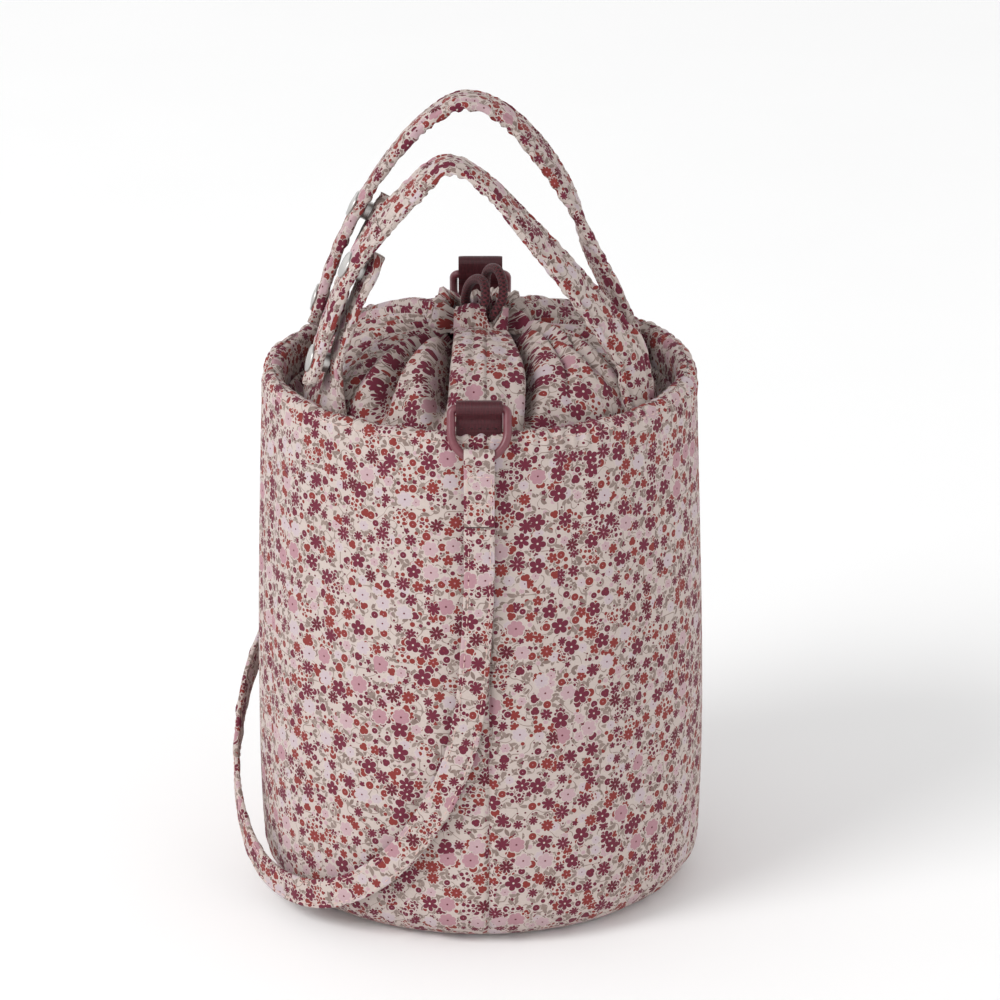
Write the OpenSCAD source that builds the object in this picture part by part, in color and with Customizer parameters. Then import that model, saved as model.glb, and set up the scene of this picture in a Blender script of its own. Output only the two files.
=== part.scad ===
// Round drawstring knitting bag. A padded wall holds a gathered collar, two handles that snap shut,
// two D-rings on webbing tabs, and a carry strap that hangs from the rings.
// Millimetres. The origin is the middle of the base, +Z is up and -Y is the front.

/* [Body] */
// Outer radius of the wall at the mouth
mouth_r = 115.5; // [115:0.1:116]
// Height of the wall up to the crest of the rim
wall_h = 288; // [280:1:296]
// How far the wall swells out at its widest
bulge = 4.5; // [3.5:0.1:4.6]
// Radius of the rounded edge around the base
corner_r = 25; // [20:1:28]
// Thickness of one layer of the printed fabric with its backing
fabric_t = 1.6; // [1.4:0.1:1.8]
// Thickness of the wadding in the wall and the base
padding_t = 8; // [7:0.1:8.2]

/* [Collar] */
// Outer radius of the collar where it leaves its seam
collar_r = 94; // [93:0.5:94.5]
// Depth of the collar's seam below the crest of the rim
collar_drop = 20; // [19:0.5:22]
// Height of the gathered dome above its seam
collar_rise = 43.4; // [40:0.2:44]
// Outer radius of the gathered casing
casing_r = 27; // [26.5:0.1:28]
// Radius of the hole that is left when the cord is drawn
neck_r = 15; // [14.5:0.1:15.5]
// Height of the casing
casing_h = 14.6; // [14:0.1:16]
// Diameter of the drawcord
cord_d = 5; // [4.5:0.1:5.2]

/* [Handles] */
// Width of a handle and of its snap tab
handle_w = 25; // [22:0.5:25]
// Thickness of a handle
handle_t = 6.4; // [6:0.1:6.6]
// Thickness of one fabric layer of a handle
handle_skin = 1.35; // [1.2:0.05:1.5]
// Gap that the snaps hold open between a handle's end and its tab
snap_gap = 3.6; // [3.5:0.1:3.8]
// Radius of a snap's cap
snap_cap_r = 7.5; // [6:0.1:7.8]

/* [Rings and strap] */
// Width of the webbing tab
tab_w = 24; // [22:0.5:24]
// Thickness of one ply of the webbing
tab_ply = 1.6; // [1.4:0.1:1.7]
// Height of a ring's bar above the crest of the rim
ring_lift = 13; // [12.5:0.1:14]
// Height of the rear tab's fold above its ring's bar, which hangs low in it
rear_fold_rise = 6; // [0:0.5:8]
// Diameter of a ring's wire
ring_d = 4.4; // [4:0.1:4.5]
// Angle of a hanging ring from the vertical, where it leans on the rim
ring_lean = 27; // [26.5:0.5:30]
// Width of the carry strap
strap_w = 16; // [14:0.5:16]
// Thickness of the carry strap
strap_t = 3.2; // [2.8:0.1:3.2]

/* [Hidden] */

$fn = 96;
wall_t = 2 * fabric_t + padding_t;
roll_r = wall_t / 2;
clear = 0.15;

// The colours of the pieces
PRINT = "rosybrown";
WADDING = "whitesmoke";
BURGUNDY = "maroon";
MAUVE = "palevioletred";
METAL = "silver";

// Body outline. body_r is the wall's outer radius at height z.
function body_r(z) = mouth_r + bulge * sin(180 * pow(z / wall_h, 0.65));
core_r = body_r(corner_r) - corner_r;
roll_z = wall_h - roll_r;
crest_r = body_r(roll_z) - roll_r;
lining_r = crest_r - roll_r;
WALL_STEPS = 10;

function turned(c, r, angles) = [for (a = angles) [c[0] + r * cos(a), c[1] + r * sin(a)]];
function reversed(p) = [for (i = [len(p) - 1 : -1 : 0]) p[i]];

// The line at a given depth inside the wall, from the base seam up to the rim
function wall_line(inset) = concat(
    turned([core_r, corner_r], corner_r - inset, [-90 : 15 : 0]),
    [for (i = [1 : WALL_STEPS])
        let (z = corner_r + i * (roll_z - corner_r) / WALL_STEPS) [body_r(z) - inset, z]]
);
// The same line with its quarter of the rim, on the outer and on the inner side
function outer_line(inset) =
    concat(wall_line(inset), turned([crest_r, roll_z], roll_r - inset, [15 : 15 : 90]));
function inner_line(inset) =
    concat(wall_line(inset), turned([crest_r, roll_z], inset - roll_r, [165 : -15 : 90]));

// The slots in the rim that the two ring tabs are sewn into
TAB_DEPTH = 14;
module tab_slots() {
    for (side = [-1, 1])
        translate([0, side * crest_r, wall_h])
            cube([tab_w + 2 * clear, 2 * (tab_ply + clear), 2 * (TAB_DEPTH + clear)], center = true);
}

module outer_wall() {
    color(PRINT) difference() {
        rotate_extrude() polygon(concat(outer_line(0), reversed(outer_line(fabric_t))));
        tab_slots();
    }
}

module lining_wall() {
    color(PRINT) difference() {
        rotate_extrude() polygon(concat(inner_line(wall_t), reversed(inner_line(wall_t - fabric_t))));
        tab_slots();
    }
}

module wall_padding() {
    inside = inner_line(wall_t - fabric_t);
    color(WADDING) difference() {
        rotate_extrude() polygon(concat(
            outer_line(fabric_t), reversed([for (i = [0 : len(inside) - 2]) inside[i]])
        ));
        tab_slots();
    }
}

module base_disc(z, h) {
    translate([0, 0, z]) cylinder(h = h, r = core_r);
}

module base_panel() {
    color(PRINT) base_disc(0, fabric_t);
}

module base_padding() {
    color(WADDING) base_disc(fabric_t, padding_t);
}

module base_lining() {
    color(PRINT) base_disc(wall_t - fabric_t, fabric_t);
}

// Collar: a seam flange on the lining, then a dome that closes in on the casing
collar_z = wall_h - collar_drop;
casing_z = collar_z + collar_rise;

module collar() {
    function dome(r, z) = [for (a = [0 : 10 : 90])
        [casing_r + (r - casing_r) * cos(a), z + collar_rise * sin(a)]];
    color(PRINT) rotate_extrude() polygon(concat(
        [[lining_r - clear, collar_z], [lining_r - clear, collar_z + fabric_t]],
        dome(collar_r, collar_z + fabric_t),
        reversed(dome(collar_r - fabric_t, collar_z))
    ));
}

// The cord runs round inside the casing and comes out of a slit at the front
run_r = (casing_r + neck_r) / 2;
run_z = casing_z + 0.55 * casing_h;
CORD_CLEAR = 0.4;
RUN_GAP = 20; // half of the angle at the front where the cord is outside its run
SLIT = [16, 18, 20];

module collar_casing() {
    color(PRINT) difference() {
        rotate_extrude() difference() {
            translate([neck_r, casing_z]) square([casing_r - neck_r, casing_h]);
            translate([run_r, run_z]) circle(r = cord_d / 2 + CORD_CLEAR);
        }
        translate([-SLIT[0] / 2, -run_r - SLIT[1] / 2, run_z]) cube(SLIT);
    }
}

module drawcord_run() {
    color(BURGUNDY) translate([0, 0, run_z]) rotate([0, 0, RUN_GAP - 90])
        rotate_extrude(angle = 360 - 2 * RUN_GAP) translate([run_r, 0]) circle(d = cord_d);
}

// Sweeps. A ring is a list of points, and rings follow each other from one closed end to the other.
// The two halves of a ring are split along opposite diagonals, so that stacked layers stay parallel.
function unit(v) = v / norm(v);
function spline(p, u) = let (
        last = len(p) - 1, i = min(floor(u), last - 1), t = u - i,
        a = p[max(i - 1, 0)], b = p[i], c = p[i + 1], d = p[min(i + 2, last)]
    )
    (2 * b + (c - a) * t + (2 * a - 5 * b + 4 * c - d) * t * t + (3 * b - a - 3 * c + d) * t * t * t) / 2;
function heading(p, u) = unit(spline(p, min(u + 0.05, len(p) - 1)) - spline(p, max(u - 0.05, 0)));

module sweep(rings) {
    m = len(rings[0]);
    n = len(rings);
    polyhedron(
        points = [for (ring = rings) each ring],
        faces = concat(
            [[for (j = [0 : m - 1]) j], [for (j = [m - 1 : -1 : 0]) (n - 1) * m + j]],
            [for (i = [0 : n - 2]) for (j = [0 : m - 1])
                let (a = i * m + j, b = i * m + (j + 1) % m)
                each j < m / 2 ? [[a, a + m, b], [b, a + m, b + m]] : [[a, a + m, b + m], [a, b + m, b]]]
        )
    );
}

// Cords. Heights in a route are above the crest of the rim.
CORD_SIDES = 8;
function lifted(p) = [for (v = p) v + [0, 0, wall_h]];
function tangent(p, i) = unit(p[min(i + 1, len(p) - 1)] - p[max(i - 1, 0)]);
// A direction square to the route that turns as little as it can from point to point
function carried(p, i, v) = i == len(p) ? [] : let (
        t = tangent(p, i), u = unit(v - (v * t) * t)
    ) concat([u], carried(p, i + 1, u));

module cord(route, d) {
    p = lifted(route);
    us = carried(p, 0, [0.1, 0.2, 1]);
    sweep([for (i = [0 : len(p) - 1]) let (v = cross(us[i], tangent(p, i)))
        [for (k = [0 : CORD_SIDES - 1]) let (a = 360 * k / CORD_SIDES)
            p[i] + d / 2 * (cos(a) * us[i] + sin(a) * v)]]);
}

// The drawcord's free length: out of the slit, over in a high and a low arch, and down through the neck
DRAWCORD_ROUTE = [
    [7.2, -19.8, 31.4], [8.5, -22, 36], [11.5, -21.5, 41], [12.5, -19.5, 46], [12, -15.5, 51],
    [9.5, -10, 55], [6, -4, 54], [3.5, 0, 49.5], [3, 2, 42], [3, 2, 33],
    [3.5, 1, 20], [4, 1, 5], [4, 1, -12], [4, 1, -30], [4, 1, -48], [4, 1, -66], [4, 1, -80],
    [6, 1, -92], [8, 1, -100], [6, 1, -108], [0, 1, -112], [-6, 1, -108], [-8, 1, -100], [-6, 1, -92],
    [-4, 1, -80], [-4, 1, -66], [-4, 1, -48], [-4, 1, -30], [-4, 1, -12], [-4, 1.5, 5], [-5, 3, 18],
    [-7, 4, 28], [-7.5, 3, 36], [-5.5, -1, 44], [-2, -7, 49], [1.5, -13, 50],
    [3, -18.5, 47], [2.5, -21.5, 41], [-2, -22, 35], [-7.2, -19.8, 31.4]
];
KNOT = [0, 1, -78];
KNOT_R = 11;

module drawcord_loop() {
    color(BURGUNDY) cord(DRAWCORD_ROUTE, cord_d);
}

module drawcord_knot() {
    color(BURGUNDY) translate(KNOT + [0, 0, wall_h]) sphere(r = KNOT_R, $fn = 48);
}

// Ring tabs: a doubled webbing sewn into the crest of the rim, with its fold around the ring's bar
ring_z = wall_h + ring_lift;
bar_bore_r = ring_d / 2 + 0.4;

// A slot round the ring's bar that goes on up by rise
module bar_slot(r, width, rise) {
    hull() for (up = [0, rise])
        translate([0, -crest_r, ring_z + up]) rotate([0, 90, 0]) cylinder(h = width, r = r, center = true);
}

module ring_tab(rise) {
    color(BURGUNDY) difference() {
        union() {
            translate([0, -crest_r, (wall_h - TAB_DEPTH + ring_z) / 2])
                cube([tab_w, 2 * tab_ply, ring_z - wall_h + TAB_DEPTH], center = true);
            bar_slot(bar_bore_r + tab_ply, tab_w, rise);
        }
        bar_slot(bar_bore_r, tab_w + 2, rise);
    }
}

module front_ring_tab() {
    ring_tab(0);
}

module rear_ring_tab() {
    mirror([0, 1, 0]) ring_tab(rear_fold_rise);
}

// D-ring, drawn hanging from its bar along -Z and then leaned outwards
ring_half = tab_w / 2 + 0.4 + ring_d / 2;
RING_LEG = 12;
module lean_out() {
    translate([0, -crest_r, ring_z]) rotate([-ring_lean, 0, 0]) children();
}

module ring_shape(d) {
    rotate([0, 90, 0]) cylinder(h = 2 * ring_half, d = d, center = true);
    for (side = [-1, 1]) {
        translate([side * ring_half, 0, 0]) sphere(d = d);
        translate([side * ring_half, 0, -RING_LEG]) cylinder(h = RING_LEG, d = d);
    }
    translate([0, 0, -RING_LEG]) rotate([-90, 0, 0])
        rotate_extrude(angle = 180) translate([ring_half, 0]) circle(d = d);
}

module front_d_ring() {
    color(MAUVE) lean_out() ring_shape(ring_d);
}

module rear_d_ring() {
    color(MAUVE) mirror([0, 1, 0]) lean_out() ring_shape(ring_d);
}

// Strap loops: the strap's end goes round the ring's bow and is sewn flat to itself
ring_reach = RING_LEG + ring_half;
bow_y = -crest_r - ring_reach * sin(ring_lean);
bow_z = ring_z - ring_reach * cos(ring_lean);
LOOP_ROOM = [-3.1, 3.7]; // the eye's faces in front of and behind the bow's middle
EYE_TOP = 5;
EYE_BOTTOM = -2.8;
LOOP_TAIL = 32;
loop_ply = strap_t / 2;

module strap_loop() {
    eye_h = EYE_TOP - EYE_BOTTOM;
    color(PRINT) translate([-strap_w / 2, bow_y, bow_z]) {
        difference() {
            translate([0, LOOP_ROOM[0] - loop_ply, EYE_BOTTOM - loop_ply])
                cube([strap_w, LOOP_ROOM[1] - LOOP_ROOM[0] + strap_t, eye_h + strap_t]);
            translate([-1, LOOP_ROOM[0], EYE_BOTTOM])
                cube([strap_w + 2, LOOP_ROOM[1] - LOOP_ROOM[0], eye_h]);
        }
        translate([0, -loop_ply, EYE_BOTTOM - loop_ply - LOOP_TAIL]) cube([strap_w, strap_t, LOOP_TAIL]);
    }
}

module front_strap_loop() {
    strap_loop();
}

module rear_strap_loop() {
    mirror([0, 1, 0]) strap_loop();
}

// Carry strap: a flat strap that lies against the wall. Its faces look away from the bag's axis.
STRAP_FRONT_ROUTE = [
    [0, -123, -49], [0, -123, -75], [-1, -123.5, -100], [-3, -124, -130], [-6, -124.5, -155],
    [-12, -124.5, -180], [-23, -123, -205], [-39, -119.5, -230], [-58, -112, -250], [-79, -99, -264],
    [-99, -80, -270], [-116, -57, -267], [-127, -32, -254], [-132, -8, -234], [-131, 14, -212],
    [-126, 34, -192], [-117, 54, -175], [-105, 74, -158]
];
STRAP_REAR_ROUTE = [
    [-105, 74, -158], [-91, 91, -144], [-72, 107, -129], [-51, 118, -113], [-31, 123, -96],
    [-15, 124, -79], [-5, 123.5, -66], [-1, 123, -58], [0, 123, -49]
];
strap_edge = strap_t / 2;

module strap(route) {
    p = lifted(route);
    half = strap_w / 2;
    outline = [
        [half, strap_edge / 2], [half - strap_edge, strap_edge], [strap_edge - half, strap_edge],
        [-half, strap_edge / 2], [-half, -strap_edge / 2], [strap_edge - half, -strap_edge],
        [half - strap_edge, -strap_edge], [half, -strap_edge / 2]
    ];
    color(PRINT) sweep([for (i = [0 : len(p) - 1]) let (
            t = tangent(p, i), away = [p[i][0], p[i][1], 0], face = unit(away - (away * t) * t),
            side = cross(face, t)
        )
        [for (q = outline) p[i] + q[0] * side + q[1] * face]]);
}

module carry_strap_front() {
    strap(STRAP_FRONT_ROUTE);
}

module carry_strap_rear() {
    strap(STRAP_REAR_ROUTE);
}

// Handles. The route goes from the free end on the left, over the top, to the sewn leg on the right.
// Each list holds the front handle's, then the rear one's, which is drawn at the front and mirrored.
HANDLE_ROUTES = [
    [[-86, -50, 17], [-78, -51, 42], [-68, -52, 68], [-54, -53, 90], [-36, -54, 111], [-17, -54, 127],
        [3, -54, 117], [24, -53, 93], [46, -51, 66], [66, -48, 39], [81, -44, 17]],
    [[-86, -50, 17], [-78, -51, 42], [-66, -52, 68], [-52, -53, 91], [-33, -54, 114], [-10, -54, 129],
        [12, -54, 122], [32, -53, 101], [48, -51, 76], [60, -49, 47], [72, -47, 22]]
];
// How far each strap has turned about the vertical, along its route
HANDLE_TWISTS = [
    [[0, 6], [2.2, 6], [3.2, 16], [4.2, 16], [5.5, 2], [6.3, -3], [7.4, -18], [8.6, -27], [10, -40]],
    [[0, 3], [2.5, 3], [5, 0], [7, 14], [7.9, 8], [9, -22], [10, -28]]
];
HANDLE_LAST = 10;
END_SPLIT = 3.2; // where the free end bends away from the arch
SPLIT_GAP = 0.015; // half of the cut there, in steps of the route
SNAPS = [0.12, 2.1]; // where the two snaps sit along the route
PLY_GAP = 0.1;
half_t = handle_t / 2;
half_w = handle_w / 2;
pad_t = half_t - handle_skin - PLY_GAP;
tab_lift = -(handle_t + snap_gap);
// Feet: the sewn ends inside the rim, under the arch's leg and under the snap tab
FOOT_ROUTES = [
    [[85, -52, -16], [84.5, -50.5, -8], [82, -46.5, 1.5]],
    [[81, -57, -16], [80, -55, -6], [77, -50.5, 4]]
];
FOOT_TWIST = [[0, -32], [2, -38]];
TAB_FOOT_ROUTE = [[-78.5, -60, -15], [-78, -58, -10], [-78, -56.5, -5]];
TAB_FOOT_TWIST = [[0, 38], [2, 34]];

// Middle, side, face and heading of a strap at step u of its route
function frame_at(route, twist, u) = let (
        t = heading(route, u), a = lookup(u, twist), s0 = [sin(a), -cos(a), 0],
        side = unit(s0 - (s0 * t) * t)
    ) [spline(route, u) + [0, 0, wall_h], side, cross(side, t), t];

// Cuts along a strap, each [step, distance past the step, half width]; a round end narrows to its tip
ROUND = [0.985, 0.9, 0.75, 0.5, 0.25];
function round_end(u, way) = [for (q = ROUND) [u, way * q * half_w, half_w * sqrt(1 - q * q)]];
function plain_cuts(from, to, steps) = [for (i = [0 : steps]) [from + (to - from) * i / steps, 0, half_w]];

// One layer of a strap, from lo to hi across its thickness, moved off its route by lift
module layer(route, twist, cuts, lo, hi, lift = 0) {
    sweep([for (c = cuts) let (
            f = frame_at(route, twist, c[0]), m = f[0] + c[1] * f[3] + lift * f[2]
        )
        [m + c[2] * f[1] + lo * f[2], m - c[2] * f[1] + lo * f[2],
            m - c[2] * f[1] + hi * f[2], m + c[2] * f[1] + hi * f[2]]]);
}

ARCH_CUTS = concat(
    plain_cuts(END_SPLIT + SPLIT_GAP, HANDLE_LAST, 27), reversed(round_end(HANDLE_LAST, 1))
);
END_CUTS = concat(round_end(0, -1), plain_cuts(0, END_SPLIT - SPLIT_GAP, 12));
TAB_CUTS = concat(round_end(0, -1), plain_cuts(0, SNAPS[1], 8), reversed(round_end(SNAPS[1], 1)));
FOOT_CUTS = plain_cuts(0, 2, 4);

module handle_layer(k, lo, hi) {
    layer(HANDLE_ROUTES[k], HANDLE_TWISTS[k], ARCH_CUTS, lo, hi);
}

// Places a snap's piece, whose own +Z looks out of handle k and whose origin is on the route
module at_snaps(k) {
    for (u = SNAPS) {
        f = frame_at(HANDLE_ROUTES[k], HANDLE_TWISTS[k], u);
        translate(f[0]) rotate([0, acos(f[2][2]), atan2(f[2][1], f[2][0])]) children();
    }
}

// Snap sizes, and heights across the joint, from the cap on the outside to the back of the tab
SNAP_POST_R = 1.5;
SNAP_HOLE_R = 1.9;
SNAP_DISC_R = 5.2;
SNAP_DISC_H = 0.8;
CAP_H = 2.2;
SOCKET_H = 2.2;
SOCKET_R = 2.5;
SOCKET_WEB = 0.4;
KNOB_R = 1.9;
SEAT = 0.25; // the snaps' clearance off the curved faces of the strap
socket_z = -half_t - SEAT - SOCKET_H;
flange_z = -half_t - snap_gap + SEAT;
back_z = tab_lift - half_t - SEAT;

module snap_holes(k) {
    at_snaps(k) translate([0, 0, back_z - 5]) cylinder(h = 5 - back_z + handle_t, r = SNAP_HOLE_R);
}

module handle_end(k) {
    difference() {
        layer(HANDLE_ROUTES[k], HANDLE_TWISTS[k], END_CUTS, -half_t, half_t);
        snap_holes(k);
    }
}

module snap_tab(k) {
    difference() {
        layer(HANDLE_ROUTES[k], HANDLE_TWISTS[k], TAB_CUTS, -half_t, half_t, tab_lift);
        snap_holes(k);
    }
}

module handle_foot(k) {
    layer(FOOT_ROUTES[k], FOOT_TWIST, FOOT_CUTS, -half_t, half_t);
}

module snap_tab_foot() {
    layer(TAB_FOOT_ROUTE, TAB_FOOT_TWIST, FOOT_CUTS, -half_t, half_t);
}

// Cap: a shallow dome outside the handle, with a post through it
module snap_caps(k) {
    at_snaps(k) rotate_extrude() polygon([
        [0, -half_t - SEAT], [SNAP_POST_R, -half_t - SEAT], [SNAP_POST_R, half_t + SEAT],
        [snap_cap_r, half_t + SEAT], [snap_cap_r, half_t + SEAT + 0.3 * CAP_H],
        [0.9 * snap_cap_r, half_t + SEAT + 0.6 * CAP_H], [0.6 * snap_cap_r, half_t + SEAT + 0.9 * CAP_H],
        [0, half_t + SEAT + CAP_H]
    ]);
}

// Socket: a disc on the handle's inner face with a recess for the knob
module snap_sockets(k) {
    at_snaps(k) difference() {
        translate([0, 0, socket_z]) cylinder(h = SOCKET_H, r = SNAP_DISC_R);
        translate([0, 0, socket_z - 1]) cylinder(h = SOCKET_H - SOCKET_WEB + 1, r = SOCKET_R);
    }
}

// Stud: a flange on the tab's outer face and a round-topped knob
module snap_studs(k) {
    at_snaps(k) {
        translate([0, 0, flange_z]) cylinder(h = SNAP_DISC_H, r = SNAP_DISC_R);
        translate([0, 0, flange_z + SNAP_DISC_H]) rotate_extrude() intersection() {
            scale([1, 0.8]) circle(r = KNOB_R, $fn = 48);
            square(KNOB_R + 1);
        }
    }
}

// Back: the disc behind the tab, with a post that holds the stud
module snap_backs(k) {
    at_snaps(k) {
        translate([0, 0, back_z - SNAP_DISC_H]) cylinder(h = SNAP_DISC_H, r = SNAP_DISC_R);
        translate([0, 0, back_z]) cylinder(h = flange_z - back_z, r = SNAP_POST_R);
    }
}

module front_handle_outer() {
    color(PRINT) handle_layer(0, half_t - handle_skin, half_t);
}

module front_handle_padding() {
    color(WADDING) handle_layer(0, -pad_t, pad_t);
}

module front_handle_inner() {
    color(PRINT) handle_layer(0, -half_t, handle_skin - half_t);
}

module front_handle_end() {
    color(PRINT) handle_end(0);
}

module front_handle_foot() {
    color(PRINT) handle_foot(0);
}

module front_snap_tab() {
    color(PRINT) snap_tab(0);
}

module front_snap_tab_foot() {
    color(PRINT) snap_tab_foot();
}

module front_snap_caps() {
    color(METAL) snap_caps(0);
}

module front_snap_sockets() {
    color(METAL) snap_sockets(0);
}

module front_snap_studs() {
    color(METAL) snap_studs(0);
}

module front_snap_backs() {
    color(METAL) snap_backs(0);
}

module rear_handle_outer() {
    color(PRINT) mirror([0, 1, 0]) handle_layer(1, half_t - handle_skin, half_t);
}

module rear_handle_padding() {
    color(WADDING) mirror([0, 1, 0]) handle_layer(1, -pad_t, pad_t);
}

module rear_handle_inner() {
    color(PRINT) mirror([0, 1, 0]) handle_layer(1, -half_t, handle_skin - half_t);
}

module rear_handle_end() {
    color(PRINT) mirror([0, 1, 0]) handle_end(1);
}

module rear_handle_foot() {
    color(PRINT) mirror([0, 1, 0]) handle_foot(1);
}

module rear_snap_tab() {
    color(PRINT) mirror([0, 1, 0]) snap_tab(1);
}

module rear_snap_tab_foot() {
    color(PRINT) mirror([0, 1, 0]) snap_tab_foot();
}

module rear_snap_caps() {
    color(METAL) mirror([0, 1, 0]) snap_caps(1);
}

module rear_snap_sockets() {
    color(METAL) mirror([0, 1, 0]) snap_sockets(1);
}

module rear_snap_studs() {
    color(METAL) mirror([0, 1, 0]) snap_studs(1);
}

module rear_snap_backs() {
    color(METAL) mirror([0, 1, 0]) snap_backs(1);
}

outer_wall();
wall_padding();
lining_wall();
base_panel();
base_padding();
base_lining();
collar();
collar_casing();
drawcord_run();
drawcord_loop();
drawcord_knot();
front_ring_tab();
rear_ring_tab();
front_d_ring();
rear_d_ring();
front_strap_loop();
rear_strap_loop();
carry_strap_front();
carry_strap_rear();
front_handle_outer();
front_handle_padding();
front_handle_inner();
front_handle_end();
front_handle_foot();
front_snap_tab();
front_snap_tab_foot();
front_snap_caps();
front_snap_sockets();
front_snap_studs();
front_snap_backs();
rear_handle_outer();
rear_handle_padding();
rear_handle_inner();
rear_handle_end();
rear_handle_foot();
rear_snap_tab();
rear_snap_tab_foot();
rear_snap_caps();
rear_snap_sockets();
rear_snap_studs();
rear_snap_backs();
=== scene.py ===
"""The looks of the knitting bag: a padded round bag with a gathered collar, snap handles and a carry strap.

Everything is in metres in the CAD frame: the base's middle is the origin, +Z is up and -Y is the front.
"""
import math

import bpy
import numpy as np
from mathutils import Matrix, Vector


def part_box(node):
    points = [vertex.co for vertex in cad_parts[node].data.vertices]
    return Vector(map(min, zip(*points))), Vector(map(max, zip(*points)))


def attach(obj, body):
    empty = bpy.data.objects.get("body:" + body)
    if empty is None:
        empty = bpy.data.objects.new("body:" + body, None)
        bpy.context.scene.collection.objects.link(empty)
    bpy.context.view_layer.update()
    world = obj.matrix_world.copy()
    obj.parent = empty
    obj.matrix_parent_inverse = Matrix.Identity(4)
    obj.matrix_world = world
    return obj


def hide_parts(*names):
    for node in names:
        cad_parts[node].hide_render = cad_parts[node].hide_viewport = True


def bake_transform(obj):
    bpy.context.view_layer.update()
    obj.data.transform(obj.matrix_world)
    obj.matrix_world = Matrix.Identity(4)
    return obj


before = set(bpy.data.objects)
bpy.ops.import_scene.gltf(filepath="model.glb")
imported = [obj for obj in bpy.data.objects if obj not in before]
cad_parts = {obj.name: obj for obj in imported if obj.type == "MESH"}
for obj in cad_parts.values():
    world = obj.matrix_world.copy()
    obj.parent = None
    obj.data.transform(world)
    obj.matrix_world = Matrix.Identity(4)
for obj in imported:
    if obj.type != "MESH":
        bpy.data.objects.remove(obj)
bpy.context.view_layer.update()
MM = 0.001
TURN = 2 * math.pi
SIDES = (("front", False), ("rear", True))  # name of a side, and whether it is the mirrored one

# ---------------------------------------------------------------- sizes, as in the CAD

FABRIC_T = 1.6 * MM
RIM_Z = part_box("outer_wall")[1].z
MOUTH_R = 115.5 * MM
BULGE = 4.5 * MM
CORNER_R = 25 * MM
ROLL_R = 5.6 * MM
ROLL_Z = RIM_Z - ROLL_R
COLLAR_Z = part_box("collar")[0].z
COLLAR_R = 94 * MM
CASING_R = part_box("collar_casing")[1].x
CASING_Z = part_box("collar_casing")[0].z
CORD_D = 5 * MM
HANDLE_W = 25 * MM
HANDLE_T = 6.4 * MM
TAB_LIFT = -10 * MM
RING_D = 4.4 * MM
RING_LEAN = math.radians(27)
RING_LEG = 12 * MM
TAB_W = 24 * MM
TAB_PLY = 1.6 * MM
TAB_DEPTH = 14 * MM
STRAP_W = 16 * MM
STRAP_T = 3.2 * MM


def wall_r(z):
    """The wall's outer radius at height z."""
    return MOUTH_R + BULGE * np.sin(math.pi * np.power(np.clip(z / RIM_Z, 0, 1), 0.65))


CORE_R = float(wall_r(CORNER_R)) - CORNER_R
CREST_R = float(wall_r(ROLL_Z)) - ROLL_R
LINING_R = CREST_R - ROLL_R
RING_Z = RIM_Z + 13 * MM
REAR_FOLD_RISE = 6 * MM
RING_HALF = TAB_W / 2 + 0.4 * MM + RING_D / 2

# ---------------------------------------------------------------- camera

CAMERA_AIM = Vector((0.0107, 0, 0.2100))
CAMERA_DISTANCE = 3.6
CAMERA_RISE = math.radians(20.3)
CAMERA_LENS = 242
FILM_WIDTH = 36


def make_camera():
    data = bpy.data.cameras.new("camera")
    data.lens = CAMERA_LENS
    data.sensor_width = FILM_WIDTH
    data.clip_end = 50
    camera = bpy.data.objects.new("camera", data)
    bpy.context.scene.collection.objects.link(camera)
    back = Vector((0, -math.cos(CAMERA_RISE), math.sin(CAMERA_RISE)))
    camera.location = CAMERA_AIM + CAMERA_DISTANCE * back
    camera.rotation_euler = (-back).to_track_quat("-Z", "Y").to_euler()
    bpy.context.scene.camera = camera


make_camera()

# ---------------------------------------------------------------- shape tools


def smooth(x, lo, hi):
    """0 before lo, 1 after hi and an even rise between."""
    t = np.clip((x - lo) / (hi - lo), 0, 1)
    return t * t * (3 - 2 * t)


def bump(x, width):
    """A rounded peak of height 1 at x = 0."""
    return np.exp(-((x / width) ** 2))


def ripple(angle, waves, seed, drift=0.0):
    """An irregular ripple about 1 high round a circle, with waves = (fewest, most) waves in a turn."""
    rng = np.random.default_rng(seed)
    total = np.zeros(np.broadcast(angle, drift).shape)
    count = 9
    for k in rng.integers(waves[0], waves[1] + 1, count):
        total = total + np.sin(k * angle + rng.uniform(0, TURN) + rng.uniform(-1, 1) * drift)
    return total / math.sqrt(count / 2)


def wander(x, period, seed):
    """An irregular wave along a length, about 1 high, whose waves are roughly period long."""
    rng = np.random.default_rng(seed)
    total = np.zeros(np.shape(x))
    for stretch in rng.uniform(0.6, 1.7, 7):
        total = total + np.sin(TURN * x / (period * stretch) + rng.uniform(0, TURN))
    return total / math.sqrt(3.5)


def unit(v):
    return v / np.maximum(np.linalg.norm(v, axis=-1, keepdims=True), 1e-12)


def square_to(vectors, heading):
    """Unit vectors square to heading that are nearest to the given ones."""
    return unit(vectors - np.sum(vectors * heading, axis=1, keepdims=True) * heading)


def print_uvs(across, along):
    """Where the print lies on a grid, in metres across and along it."""
    return np.stack(np.broadcast_arrays(across, along), axis=-1)


def spline(points, u):
    """The Catmull-Rom curve that the CAD uses, at steps u along its points."""
    p = np.asarray(points, float)
    u = np.atleast_1d(np.asarray(u, float))
    last = len(p) - 1
    i = np.clip(np.floor(u).astype(int), 0, last - 1)
    t = (u - i)[:, None]
    a, b, c, d = p[np.maximum(i - 1, 0)], p[i], p[i + 1], p[np.minimum(i + 2, last)]
    return (2 * b + (c - a) * t + (2 * a - 5 * b + 4 * c - d) * t**2 + (3 * b - a - 3 * c + d) * t**3) / 2


def lengths_along(points):
    return np.concatenate([[0], np.cumsum(np.linalg.norm(np.diff(points, axis=0), axis=1))])


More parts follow.
